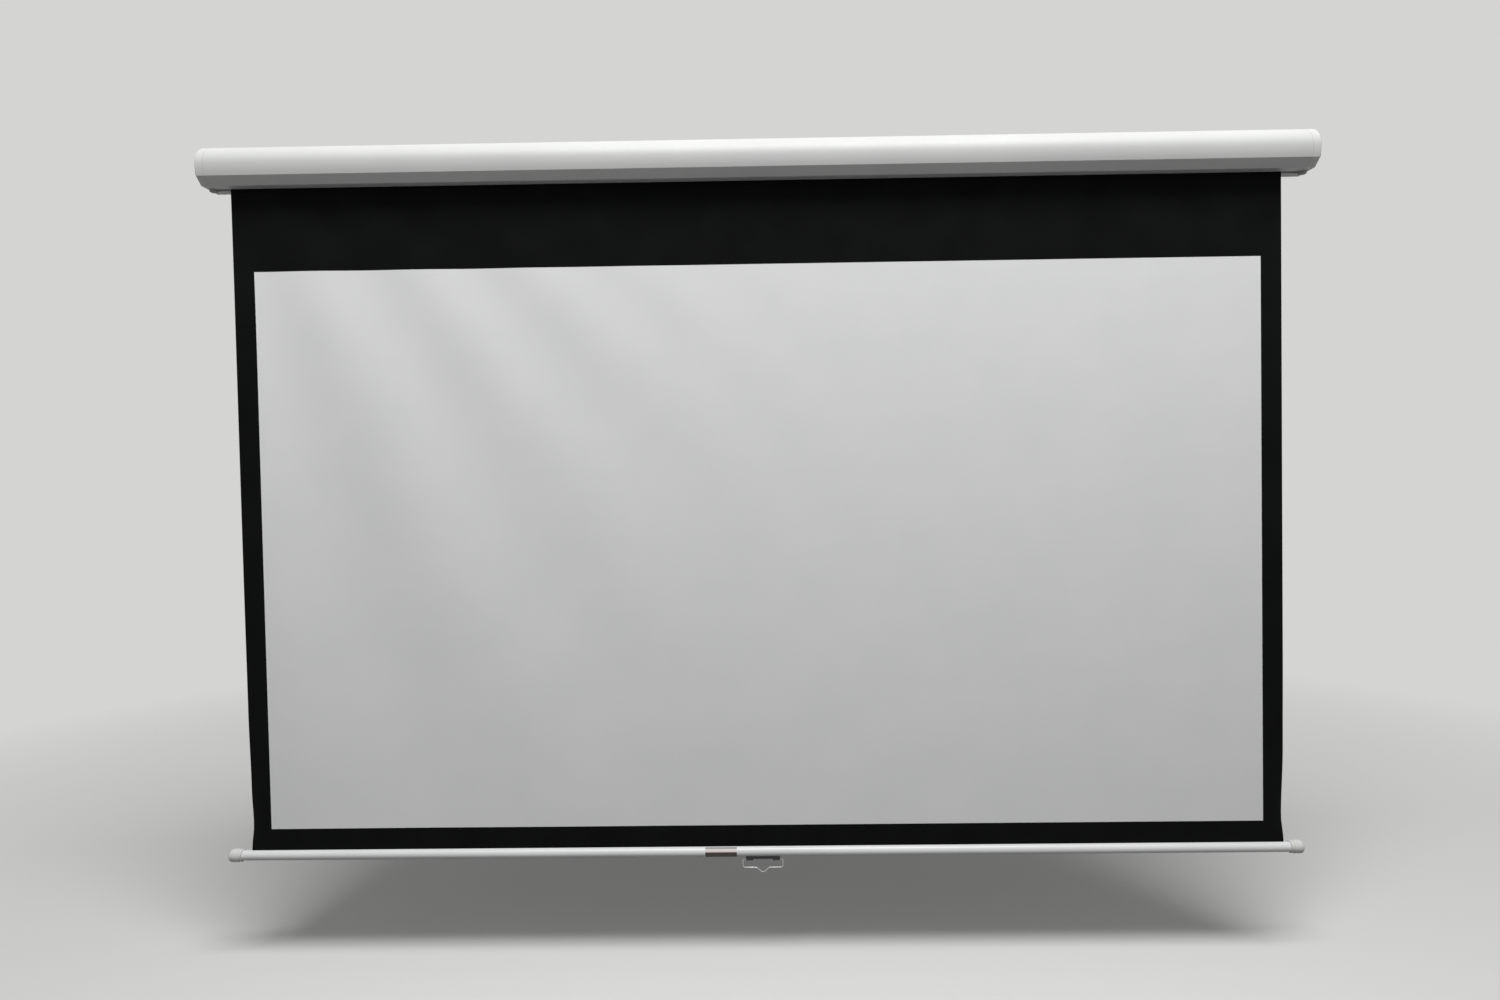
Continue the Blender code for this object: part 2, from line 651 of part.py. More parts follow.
def add_cross_pin(name, collar, along, radius):
    """A pin through a collar and the shaft, and its hole in the collar."""
    reach = (ROLLER_Y - 2 * radius, ROLLER_Y + 2 * radius)
    hole = cylinder(CROSS_PIN_RADIUS + GAP, *reach, (-along, 0, ROLLER_Z), "Y", 16)
    shaped(collar, "DIFFERENCE", hole, name + "_pin_hole")
    half = radius * 0.96
    mesh = turned(rod_profile(-half, half, CROSS_PIN_RADIUS, 0.0002), 12, "Y")
    add_piece(name + "_pin", mesh, ZINC_STEEL, (-along, ROLLER_Y, ROLLER_Z), smooth=40)


def make_torsion_spring():
    """The coil that winds up as the screen is drawn down."""
    per_turn = 6
    curve = bpy.data.curves.new("torsion_spring", "CURVE")
    curve.dimensions = "3D"
    curve.bevel_depth = SPRING_WIRE
    curve.bevel_resolution = 0
    curve.use_fill_caps = True
    count = SPRING_TURNS * per_turn + 1
    spline = curve.splines.new("POLY")
    spline.points.add(count - 1)
    start = -SPRING_OUTER + SPRING_WIRE
    length = SPRING_LENGTH - 2 * SPRING_WIRE
    for index, point in enumerate(spline.points):
        angle = 2 * math.pi * index / per_turn
        along = start + length * index / (count - 1)
        point.co = (along, SPRING_RADIUS * math.cos(angle), SPRING_RADIUS * math.sin(angle), 1.0)
    spring = bpy.data.objects.new("torsion_spring", curve)
    bpy.context.collection.objects.link(spring)
    spring.location = (0, ROLLER_Y, ROLLER_Z)
    curve.materials.append(finish("torsion_spring", DARK_STEEL))


def make_roller(axis):
    """The tube that the cloth winds on, the plugs in its two ends, and what they turn on."""
    inner = TUBE_RADIUS - TUBE_WALL
    ring = [(-TUBE_HALF, inner), (-TUBE_HALF, TUBE_RADIUS), (TUBE_HALF, TUBE_RADIUS), (TUBE_HALF, inner)]
    add_piece("roller_tube", turned(ring, 40), MILL_ALUMINIUM, smooth=40, parent=axis)
    start = TUBE_RADIUS + GAP / 2
    wound = [
        (-CLOTH_HALF, start),
        (-CLOTH_HALF, ROLL_RADIUS),
        (CLOTH_HALF, ROLL_RADIUS),
        (CLOTH_HALF, start),
    ]
    add_piece("fabric_roll", turned(wound, 40), BLACK_CLOTH, smooth=40, parent=axis)

    bore = SHAFT_RADIUS + GAP
    hub_profile = [
        (PLUG_INNER, bore),
        (PLUG_INNER, PLUG_RADIUS - 0.001),
        (PLUG_INNER + 0.002, PLUG_RADIUS),
        (FLANGE_START, PLUG_RADIUS),
        (FLANGE_START, FLANGE_RADIUS),
        (FLANGE_END, FLANGE_RADIUS),
        (FLANGE_END, bore),
    ]
    mesh = turned(mirrored(hub_profile, -1), 32)
    hub = add_piece("drive_hub", mesh, DARK_NYLON, smooth=40, parent=axis)
    for name, angle in PAWL_ANGLES.items():
        y, z = arc((ROLLER_Y, ROLLER_Z), PAWL_PIN_CIRCLE, angle, angle, 1)[0]
        reach = (-FLANGE_END - GAP, -FLANGE_END + PAWL_PIN_SEAT + GAP)
        hole = cylinder(PAWL_PIN_RADIUS + GAP, *reach, (0, y, z), segments=16)
        shaped(hub, "DIFFERENCE", hole, "pin_hole_" + name)

    nose_end = BRACKET_INNER - GAP - BUSH_FLANGE_LENGTH - END_PLAY
    pin_bore = GUDGEON_RADIUS + GAP
    idle_profile = hub_profile[1:-1] + [
        (FLANGE_END, 0.008),
        (nose_end, 0.008),
        (nose_end, pin_bore),
        (PLUG_INNER, pin_bore),
    ]
    add_piece("idle_plug", turned(idle_profile, 32), DARK_NYLON, smooth=40, parent=axis)
    gudgeon = rod_profile(PLUG_INNER + 0.004, BRACKET_OUTER + BUSH_STANDS_OUT, GUDGEON_RADIUS)
    add_piece("gudgeon_pin", turned(gudgeon, 24), ZINC_STEEL, smooth=40, parent=axis)
    bush_profile = [
        (-BUSH_OUTER, SHAFT_RADIUS + GAP),
        (-BUSH_OUTER, PLUG_RADIUS),
        (-BUSH_OUTER + BUSH_LENGTH, PLUG_RADIUS),
        (-BUSH_OUTER + BUSH_LENGTH, SHAFT_RADIUS + GAP),
    ]
    add_piece("shaft_bush", turned(bush_profile, 32), NATURAL_NYLON, smooth=40, parent=axis)


def make_idle_bush():
    """The flanged nylon bush in the right bracket."""
    inner = BRACKET_INNER - GAP
    outer = BRACKET_OUTER + BUSH_STANDS_OUT
    profile = [
        (inner - BUSH_FLANGE_LENGTH, GUDGEON_RADIUS + GAP),
        (inner - BUSH_FLANGE_LENGTH, BUSH_FLANGE),
        (inner, BUSH_FLANGE),
        (inner, BUSH_SLEEVE),
        (outer, BUSH_SLEEVE),
        (outer, GUDGEON_RADIUS + GAP),
    ]
    add_piece("idle_bush", turned(profile, 32), NATURAL_NYLON, (0, ROLLER_Y, ROLLER_Z), smooth=40)


def pawl_outline():
    """The upper pawl as it meets the tooth, in Y and Z about its own pin."""
    pin = Vector(arc((0, 0), PAWL_PIN_CIRCLE, PAWL_ANGLES["upper"], PAWL_ANGLES["upper"], 1)[0])
    low = Vector((GAP, COLLAR_RADIUS + PAWL_TIP_CLEAR))
    high = low + Vector((0, PAWL_TIP))
    along = (pin - (low + high) / 2).normalized()
    outward = Vector((-along.y, along.x))
    boss = []
    for step in range(11):
        angle = math.pi * step / 10
        boss.append(PAWL_BOSS * (outward * math.cos(angle) + along * math.sin(angle)))
    return [tuple(low - pin), tuple(high - pin)] + [tuple(point) for point in boss]


def make_pawl(name):
    """A pawl on its pin in the drive hub. The upper one has caught the tooth, the lower hangs clear."""
    angle = PAWL_ANGLES[name]
    y, z = arc((ROLLER_Y, ROLLER_Z), PAWL_PIN_CIRCLE, angle, angle, 1)[0]
    pivot = add_joint("pawl_axis_" + name, (0, y, z))
    swung = 0.0 if name == "upper" else 180.0 - PAWL_SWING
    turn = Matrix.Rotation(math.radians(swung), 2)
    outline = [tuple(turn @ Vector(point)) for point in pawl_outline()]
    outer = -FLANGE_END - END_PLAY - PAWL_THICKNESS
    mesh = prism(outline, outer, -FLANGE_END - END_PLAY)
    pawl = add_piece("pawl_" + name, mesh, ZINC_STEEL, smooth=30, parent=pivot)
    through = (outer - 0.001, -FLANGE_END + 0.001)
    hole = cylinder(PAWL_PIN_RADIUS + GAP, *through, (0, y, z), segments=16)
    shaped(pawl, "DIFFERENCE", hole, "pawl_hole_" + name)
    pin_length = PAWL_PIN_SEAT + END_PLAY + PAWL_THICKNESS + GAP
    place = (outer - GAP, y, z)
    screw(f"pawl_pin_{name}", 0.0024, 0.0008, PAWL_PIN_RADIUS, pin_length, place, "X", 1)


def ripple(x, z):
    """How far the hanging cloth stands towards the wall, as soft slanting ripples at its left."""
    top, foot = ROLLER_Z, CLOTH_FOOT
    down = (z - top) / (foot - top)
    hold = math.sin(math.pi * down) ** 0.8
    left = 1 / (1 + math.exp((x + 0.15) / 0.28))
    slant = x + 0.62 * (z + 0.4)
    waves = math.sin(slant * 2 * math.pi / 0.46) + 0.5 * math.sin(slant * 2 * math.pi / 0.27 + 1.1)
    belly = math.cos(math.pi * x / (2 * CLOTH_HALF)) * 0.6
    return CLOTH_RIPPLE * hold * (left * waves / 1.5 - belly)


def make_screen_fabric():
    """The matt white cloth with its black border, hanging from the roller to the bar."""
    columns, rows = 24, 22
    half_view = VIEW_WIDTH / 2
    inner_columns = [half_view * (2 * i / (columns - 2) - 1) for i in range(columns - 1)]
    xs = [-CLOTH_HALF] + inner_columns + [CLOTH_HALF]
    view_top = CASE_BOTTOM - TOP_BORDER
    view_rows = rows - 4
    zs = [ROLLER_Z, CASE_BOTTOM / 2, CASE_BOTTOM - TOP_BORDER / 2]
    zs += [view_top - VIEW_HEIGHT * i / view_rows for i in range(view_rows + 1)]
    zs.append(CLOTH_FOOT)
    work = bmesh.new()
    layers = []
    for lean in (-CLOTH_THICKNESS / 2, CLOTH_THICKNESS / 2):
        layer = [[work.verts.new((x, CLOTH_Y + ripple(x, z) + lean, z)) for x in xs] for z in zs]
        layers.append(layer)
        for r in range(len(zs) - 1):
            for c in range(len(xs) - 1):
                corners = (layer[r][c], layer[r][c + 1], layer[r + 1][c + 1], layer[r + 1][c])
                face = work.faces.new(corners)
                in_view = 0 < c < len(xs) - 2 and 3 <= r < 3 + view_rows
                face.material_index = 0 if in_view and lean < 0 else 1
    front, back = layers
    rim = [(0, c) for c in range(len(xs))] + [(r, len(xs) - 1) for r in range(1, len(zs))]
    rim += [(len(zs) - 1, c) for c in range(len(xs) - 2, -1, -1)]
    rim += [(r, 0) for r in range(len(zs) - 2, 0, -1)]
    for (r, c), (s, d) in zip(rim, rim[1:] + rim[:1]):
        face = work.faces.new((front[r][c], front[s][d], back[s][d], back[r][c]))
        face.material_index = 1
    piece = add_piece("screen_fabric", mesh_from(work), WHITE_CLOTH, smooth=60)
    piece.data.materials.append(finish("screen_border", BLACK_CLOTH))


def make_slat_bar():
    """The round white tube at the foot of the cloth, slotted along its top to take the hem."""
    half = BAR_SLOT / 2
    outer_slit = math.degrees(math.asin(half / BAR_RADIUS))
    inner_radius = BAR_RADIUS - BAR_WALL
    inner_slit = math.degrees(math.asin(half / inner_radius))
    centre = (CLOTH_Y, BAR_Z)
    outline = arc(centre, BAR_RADIUS, 90 + outer_slit, 450 - outer_slit, 36)
    outline += arc(centre, inner_radius, 450 - inner_slit, 90 + inner_slit, 30)
    bar = add_piece("slat_bar", prism(outline, -BAR_TUBE_HALF, BAR_TUBE_HALF), WHITE_PAINT, smooth=30)
    for name, side in SIDES.items():
        reach = (BAR_BOTTOM - GAP, BAR_BOTTOM + 2 * BAR_WALL)
        hole = cylinder(HANDLE_SCREW + GAP, *reach, (side * HANDLE_SCREW_X, CLOTH_Y, 0), "Z", 16)
        shaped(bar, "DIFFERENCE", hole, "handle_hole_" + name)


def make_hem():
    """The rod in the cloth's hem, and the hem itself, which the bar's slot is too narrow for."""
    sleeve_inner = HEM_ROD_RADIUS + GAP
    sleeve_outer = sleeve_inner + CLOTH_THICKNESS
    middle = CLOTH_FOOT - GAP - sleeve_outer
    half = CLOTH_HALF - 0.004
    rod = turned(rod_profile(-half, half, HEM_ROD_RADIUS, 0.0005), 16)
    add_piece("hem_rod", rod, ZINC_STEEL, (0, CLOTH_Y, middle), smooth=40)
    ring = [(-half, sleeve_inner), (-half, sleeve_outer), (half, sleeve_outer), (half, sleeve_inner)]
    add_piece("fabric_hem", turned(ring, 16), BLACK_CLOTH, (0, CLOTH_Y, middle), smooth=60)


def make_bar_cap(name, side):
    """A moulded plug in the end of the bar: a domed head, a groove, a collar and a spigot."""
    dome = 0.007
    head = BAR_CAP_LENGTH - 0.007
    spigot = BAR_RADIUS - BAR_WALL - GAP
    outer = [(BAR_END, 0.0)]
    for step in range(1, 6):
        angle = math.pi / 2 * step / 5
        along = BAR_END - dome * (1 - math.cos(angle))
        outer.append((along, BAR_CAP_RADIUS - dome * (1 - math.sin(angle))))
    outer.insert(1, (BAR_END, BAR_CAP_RADIUS - dome))
    start = BAR_END - BAR_CAP_LENGTH
    outer += [
        (BAR_END - head, BAR_CAP_RADIUS),
        (BAR_END - head - 0.0006, BAR_CAP_RADIUS - 0.0012),
        (BAR_END - head - 0.0022, BAR_CAP_RADIUS - 0.0012),
        (BAR_END - head - 0.0028, BAR_CAP_RADIUS - 0.0005),
        (start + 0.0006, BAR_CAP_RADIUS - 0.0005),
        (start, BAR_CAP_RADIUS - 0.0011),
        (start, spigot),
        (start - BAR_PLUG_LENGTH + 0.001, spigot),
        (start - BAR_PLUG_LENGTH, spigot - 0.001),
        (start - BAR_PLUG_LENGTH, 0.0),
    ]
    mesh = turned(mirrored(outer, side), 28)
    add_piece("bar_cap_" + name, mesh, WHITE_PLASTIC, (0, CLOTH_Y, BAR_Z), smooth=35)


def make_label():
    """A blank label wrapped round the front of the bar."""
    clear = GAP / 2
    thick = 0.00025
    centre = (CLOTH_Y, BAR_Z)
    outline = arc(centre, BAR_RADIUS + clear + thick, 110, 250, 16)
    outline += arc(centre, BAR_RADIUS + clear, 250, 110, 16)
    mesh = prism(outline, LABEL_LEFT, LABEL_LEFT + LABEL_WIDTH)
    add_piece("bar_label", mesh, BLANK_PAPER, smooth=40)


def make_handle_bracket():
    """The black saddle under the bar, and the two lugs that the wire pull swings in."""
    half_length, half_width = SADDLE_LENGTH / 2, SADDLE_WIDTH / 2
    centre = (CLOTH_Y, BAR_Z)
    seat = BAR_RADIUS + GAP
    lean = math.degrees(math.asin(half_width / seat)) - 2
    foot = BAR_BOTTOM - SADDLE_DROP
    outline = arc(centre, seat, 270 + lean, 270 - lean, 12)
    outline += [
        (CLOTH_Y - half_width, foot + 0.0015),
        (CLOTH_Y - half_width + 0.0015, foot),
        (CLOTH_Y + half_width - 0.0015, foot),
        (CLOTH_Y + half_width, foot + 0.0015),
    ]
    mesh = prism(outline, -half_length, half_length)
    bracket = add_piece("handle_bracket", mesh, BLACK_PAINT, smooth=30)
    round_radius = LUG_WIDTH / 2
    lug_foot = BAR_BOTTOM - LUG_DROP
    for name, side in SIDES.items():
        profile = arc((CLOTH_Y, lug_foot + round_radius), round_radius, 180, 360, 10)
        profile += [(CLOTH_Y + round_radius, foot + 0.001), (CLOTH_Y - round_radius, foot + 0.001)]
        ends = sorted((side * (half_length - GAP), side * (half_length - LUG_LENGTH)))
        shaped(bracket, "UNION", prism(profile, *ends), "lug_" + name)
        ends = sorted((side * (half_length + 0.002), side * (half_length - LUG_LENGTH - 0.002)))
        hole = cylinder(BAIL_WIRE + GAP, *ends, (0, CLOTH_Y, PIVOT_Z), segments=16)
        shaped(bracket, "DIFFERENCE", hole, "lug_hole_" + name)
    for name, side in SIDES.items():
        place = (side * HANDLE_SCREW_X, CLOTH_Y, 0)
        hole = cylinder(HANDLE_SCREW + GAP, foot - GAP, BAR_BOTTOM + BAR_WALL, place, "Z", 16)
        shaped(bracket, "DIFFERENCE", hole, "saddle_hole_" + name)
        place = (side * HANDLE_SCREW_X, CLOTH_Y, foot - GAP)
        length = SADDLE_DROP + BAR_WALL + 0.002
        screw("handle_screw_" + name, 0.0028, 0.0016, HANDLE_SCREW, length, place, "Z", 1, DARK_STEEL)


def bail_path():
    """The wire pull's middle line in X and Z about its pivot, from its left end to its right."""
    half = BAIL_WIDTH / 2
    foot = BAR_BOTTOM - BAIL_DROP + BAIL_WIRE - PIVOT_Z
    inner = SADDLE_LENGTH / 2 - LUG_LENGTH * 0.6
    shoulder, corner = 0.003, 0.006
    right = []
    steps = 8
    dip_half = BAIL_DIP_WIDTH / 2
    for step in range(steps):
        share = step / steps
        right.append((dip_half * share, foot - BAIL_DIP * (1 + math.cos(math.pi * share)) / 2))
    right.append((dip_half, foot))
    right += arc((half - corner, foot + corner), corner, 270, 360, 6)
    right += arc((half - shoulder, -shoulder), shoulder, 0, 90, 4)
    right.append((inner, 0.0))
    left = [(-x, z) for x, z in reversed(right[1:])]
    return left + right


def make_pull_bail(axis):
    """The bright wire pull: two ends turned in through the lugs, and a dip for a finger or hook."""
    curve = bpy.data.curves.new("pull_bail", "CURVE")
    curve.dimensions = "3D"
    curve.bevel_depth = BAIL_WIRE
    curve.bevel_resolution = 2
    curve.use_fill_caps = True
    path = bail_path()
    spline = curve.splines.new("POLY")
    spline.points.add(len(path) - 1)
    for point, (x, z) in zip(spline.points, path):
        point.co = (x, 0.0, z, 1.0)
    bail = bpy.data.objects.new("pull_bail", curve)
    bpy.context.collection.objects.link(bail)
    bail.parent = axis
    curve.materials.append(finish("pull_bail", BRIGHT_CHROME))


clear_scene()
make_case_shell()
for side_name, side_sign in SIDES.items():
    make_end_cap(side_name, side_sign)
    make_cap_screws(side_name, side_sign)
    make_hanger(side_name, side_sign)
    make_stop(side_name, side_sign)
    make_roller_bracket(side_name, side_sign)
make_idle_bush()
make_spring_shaft()
make_stop_collar()
make_spring_anchor()
make_torsion_spring()
make_roller(add_joint("roller_axis", (0, ROLLER_Y, ROLLER_Z)))
for pawl_name in PAWL_ANGLES:
    make_pawl(pawl_name)
make_screen_fabric()
make_slat_bar()
make_hem()
for side_name, side_sign in SIDES.items():
    make_bar_cap(side_name, side_sign)
make_label()
make_handle_bracket()
make_pull_bail(add_joint("bail_axis", (0, CLOTH_Y, PIVOT_Z)))
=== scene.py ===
"""The looks of a wall-hung pull-down screen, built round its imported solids.

Metres, +Z up, and the same frame as the solids: X runs along the case, +Y into the wall, and the
origin is the middle of the case's flat back. The sections follow the screen as it is put together.
"""

import math

import bmesh
import bpy
from mathutils import Matrix, Vector


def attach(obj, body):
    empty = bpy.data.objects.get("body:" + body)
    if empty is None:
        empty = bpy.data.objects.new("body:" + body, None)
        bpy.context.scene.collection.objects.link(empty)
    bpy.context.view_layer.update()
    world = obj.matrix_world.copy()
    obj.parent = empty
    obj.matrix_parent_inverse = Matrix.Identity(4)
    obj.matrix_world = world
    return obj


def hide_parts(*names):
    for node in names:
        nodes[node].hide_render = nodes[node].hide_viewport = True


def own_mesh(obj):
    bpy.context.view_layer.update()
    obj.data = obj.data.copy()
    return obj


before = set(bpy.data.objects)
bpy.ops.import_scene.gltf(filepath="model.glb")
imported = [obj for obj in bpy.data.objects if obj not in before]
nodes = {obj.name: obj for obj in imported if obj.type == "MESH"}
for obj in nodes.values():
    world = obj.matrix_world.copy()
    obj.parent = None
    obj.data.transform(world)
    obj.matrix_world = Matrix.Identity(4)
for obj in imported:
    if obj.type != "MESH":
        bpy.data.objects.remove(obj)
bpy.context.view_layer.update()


# The case: 1 mm sheet steel, bent round over its top and front and open in a slot underneath.
# It is stove-enamelled satin white, with a trace of orange peel and a little dust on its top.
CASE_WHITE = (0.660, 0.668, 0.656)
CASE_SHADE = (0.636, 0.643, 0.634)
CASE_ROUGHNESS = (0.42, 0.52)
CASE_GLOSS = 0.32
CASE_DUST = 0.35
ENAMEL_PATCH = 0.22
ENAMEL_HAZE = 0.012
ORANGE_PEEL_SIZE = 0.0016
ORANGE_PEEL_HEIGHT = 0.00003
DUST = (0.56, 0.545, 0.51)
DUST_PATCH = 0.03
DUST_SPREAD = (0.4, 0.7)
DUSTY_SLOPES = (0.55, 1.0)
WELD = 0.000002
CRISP_EDGE = math.radians(28)


class Finish:
    """A material's nodes, with short names for the few kinds that the finishes here are made of."""

    def __init__(self, name, metallic=0.0):
        self.material = bpy.data.materials.new(name)
        self.material.use_nodes = True
        self.tree = self.material.node_tree
        self.shader = self.tree.nodes["Principled BSDF"]
        self.shader.inputs["Metallic"].default_value = metallic
        self.places = self.tree.nodes.new("ShaderNodeTexCoord").outputs["Object"]

    def node(self, kind, **settings):
        made = self.tree.nodes.new(kind)
        for name, value in settings.items():
            setattr(made, name, value)
        return made

    def link(self, output, target):
        self.tree.links.new(output, target)

    def stretched(self, scale, places=None):
        """The object's own coordinates, scaled apart along X, Y and Z."""
        mapping = self.node("ShaderNodeMapping")
        mapping.inputs["Scale"].default_value = scale
        self.link(places or self.places, mapping.inputs["Vector"])
        return mapping.outputs["Vector"]

    def noise(self, size, detail=3.0, places=None):
        """Soft noise whose blotches are about size metres across."""
        made = self.node("ShaderNodeTexNoise")
        made.inputs["Scale"].default_value = 1.0 / size
        made.inputs["Detail"].default_value = detail
        self.link(places or self.places, made.inputs["Vector"])
        return made.outputs["Fac"]

    def between(self, value, start, end, low=0.0, high=1.0):
        """Value, spread from start and end to low and high, and held there."""
        made = self.node("ShaderNodeMapRange", clamp=True)
        for name, number in zip(("From Min", "From Max", "To Min", "To Max"), (start, end, low, high)):
            made.inputs[name].default_value = number
        self.link(value, made.inputs["Value"])
        return made.outputs["Result"]

    def product(self, one, other):
        made = self.node("ShaderNodeMath", operation="MULTIPLY")
        for value, socket in zip((one, other), made.inputs):
            if isinstance(value, float):
                socket.default_value = value
            else:
                self.link(value, socket)
        return made.outputs["Value"]

    def mixed(self, share, one, other):
        """A colour between two, each of them given as three numbers or as a node's output."""
        made = self.node("ShaderNodeMix", data_type="RGBA")
        self.link(share, made.inputs["Factor"])
        ends = [socket for socket in made.inputs if socket.type == "RGBA"]
        for colour, socket in zip((one, other), ends):
            if isinstance(colour, tuple):
                socket.default_value = (*colour, 1.0)
            else:
                self.link(colour, socket)
        return next(socket for socket in made.outputs if socket.type == "RGBA")

    def patches(self, size, one, other, detail=3.0, spread=(0.35, 0.65), places=None):
        """A colour that drifts from one to the other, in patches about size metres across."""
        share = self.between(self.noise(size, detail, places), *spread)
        return self.mixed(share, one, other)

    def bump(self, height, depth, strength=1.0, under=None):
        made = self.node("ShaderNodeBump")
        made.inputs["Distance"].default_value = depth
        made.inputs["Strength"].default_value = strength
        self.link(height, made.inputs["Height"])
        if under:
            self.link(under, made.inputs["Normal"])
        return made.outputs["Normal"]

    def facing_up(self):
        """How far the surface faces up, from -1 to 1."""
        split = self.node("ShaderNodeSeparateXYZ")
        self.link(self.node("ShaderNodeNewGeometry").outputs["Normal"], split.inputs["Vector"])
        return split.outputs["Z"]

    def edges(self, radius, flat=0.985, edge=0.93):
        """1 on the outer few tenths of a millimetre round an edge, and 0 on the flat."""
        rounded = self.node("ShaderNodeBevel", samples=4)
        rounded.inputs["Radius"].default_value = radius
        straight = self.node("ShaderNodeNewGeometry").outputs["Normal"]
        made = self.node("ShaderNodeVectorMath", operation="DOT_PRODUCT")
        self.link(rounded.outputs["Normal"], made.inputs[0])
        self.link(straight, made.inputs[1])
        return self.between(made.outputs["Value"], flat, edge)

    def colour(self, output):
        self.link(output, self.shader.inputs["Base Color"])

    def roughness(self, output):
        self.link(output, self.shader.inputs["Roughness"])

    def normal(self, output):
        self.link(output, self.shader.inputs["Normal"])

    def haze(self, size, ends, detail=4.0, spread=(0.3, 0.7), places=None):
        """Roughness that drifts between two ends, in patches about size metres across."""
        self.roughness(self.between(self.noise(size, detail, places), *spread, *ends))

    def grain(self, size, height, detail=2.0):
        """Fine relief all over, its grains about size metres across."""
        self.normal(self.bump(self.noise(size, detail), height))


def round_faces():
    """Nodes that weld a solid's flat faces and shade them as one, up to each crisp edge."""
    tree = bpy.data.node_groups.new("round_faces", "GeometryNodeTree")
    for way in ("INPUT", "OUTPUT"):
        tree.interface.new_socket("Geometry", in_out=way, socket_type="NodeSocketGeometry")
    steps = [tree.nodes.new("NodeGroupInput")]
    welded = tree.nodes.new("GeometryNodeMergeByDistance")
    welded.inputs["Distance"].default_value = WELD
    bare = tree.nodes.new("GeometryNodeRemoveAttribute")
    bare.inputs["Name"].default_value = "custom_normal"
    steps += [welded, bare]
    for domain, smooth in (("FACE", True), ("EDGE", True), ("EDGE", False)):
        shaded = tree.nodes.new("GeometryNodeSetShadeSmooth")
        shaded.domain = domain
        shaded.inputs["Shade Smooth"].default_value = smooth
        steps.append(shaded)
    angle = tree.nodes.new("GeometryNodeInputMeshEdgeAngle")
    crisp = tree.nodes.new("FunctionNodeCompare")
    crisp.operation = "GREATER_THAN"
    crisp.inputs["B"].default_value = CRISP_EDGE
    tree.links.new(angle.outputs["Unsigned Angle"], crisp.inputs["A"])
    tree.links.new(crisp.outputs["Result"], shaded.inputs["Selection"])
    steps.append(tree.nodes.new("NodeGroupOutput"))
    for before, after in zip(steps, steps[1:]):
        tree.links.new(before.outputs[0], after.inputs[0])
    return tree


ROUND_FACES = round_faces()


def dress(finish, *names):
    """Gives a finish to solids that keep their own shape, and shades their round faces smooth."""
    for name in names:
        solid = nodes[name]
        for place in solid.material_slots:
            place.material = finish.material
        solid.modifiers.new("round_faces", "NODES").node_group = ROUND_FACES
        solid.modifiers.new("level_faces", "WEIGHTED_NORMAL").keep_sharp = True


def white_enamel(name, white, shade, roughness, gloss, dust):
    """Stoved white enamel, with a share of dust where it faces up."""
    enamel = Finish(name)
    top = enamel.between(enamel.facing_up(), *DUSTY_SLOPES)
    patch = enamel.between(enamel.noise(DUST_PATCH, detail=6.0), *DUST_SPREAD)
    settled = enamel.product(enamel.product(top, patch), dust)
    enamel.colour(enamel.mixed(settled, enamel.patches(ENAMEL_PATCH, white, shade), DUST))
    enamel.haze(ENAMEL_HAZE, roughness)
    enamel.grain(ORANGE_PEEL_SIZE, ORANGE_PEEL_HEIGHT, detail=1.0)
    enamel.shader.inputs["Specular IOR Level"].default_value = gloss
    return enamel


case_enamel = white_enamel("case_enamel", CASE_WHITE, CASE_SHADE, CASE_ROUGHNESS, CASE_GLOSS, CASE_DUST)
dress(case_enamel, "case_shell")


# The end caps of the case and the bar: moulded white plastic, a shade warmer than the case, with a
# fine spark-eroded grain. Those of the case slide in on a tongue, and two screws hold each.
CAP_WHITE = (0.675, 0.678, 0.660)
CAP_SHADE = (0.650, 0.650, 0.632)
CAP_ROUGHNESS = (0.42, 0.54)
CAP_PATCH = 0.05
CAP_HAZE = 0.008
CAP_GRAIN_SIZE = 0.0006
CAP_GRAIN_HEIGHT = 0.00002

plastic = Finish("cap_plastic")
plastic.colour(plastic.patches(CAP_PATCH, CAP_WHITE, CAP_SHADE))
plastic.haze(CAP_HAZE, CAP_ROUGHNESS)
plastic.grain(CAP_GRAIN_SIZE, CAP_GRAIN_HEIGHT)
dress(plastic, "end_cap_left", "end_cap_right", "bar_cap_left", "bar_cap_right")


# The stops under the caps: moulded grey rubber buttons on barbed stems, pushed up into holes.
# They take the bar's ends when the screen is let up, so their feet are polished and marked.
RUBBER_GREY = (0.42, 0.43, 0.42)
RUBBER_MARK = (0.30, 0.30, 0.295)
RUBBER_ROUGHNESS = (0.6, 0.8)
RUBBER_MARK_SIZE = 0.004
RUBBER_MARK_SPREAD = (0.35, 0.7)
RUBBER_HAZE = 0.003
RUBBER_GRAIN_SIZE = 0.0005
RUBBER_GRAIN_HEIGHT = 0.00002

rubber = Finish("stop_rubber")
marked = rubber.patches(RUBBER_MARK_SIZE, RUBBER_GREY, RUBBER_MARK, detail=5.0, spread=RUBBER_MARK_SPREAD)
rubber.colour(marked)
rubber.haze(RUBBER_HAZE, RUBBER_ROUGHNESS, detail=3.0)
rubber.grain(RUBBER_GRAIN_SIZE, RUBBER_GRAIN_HEIGHT)
dress(rubber, "bar_stop_left", "bar_stop_right")


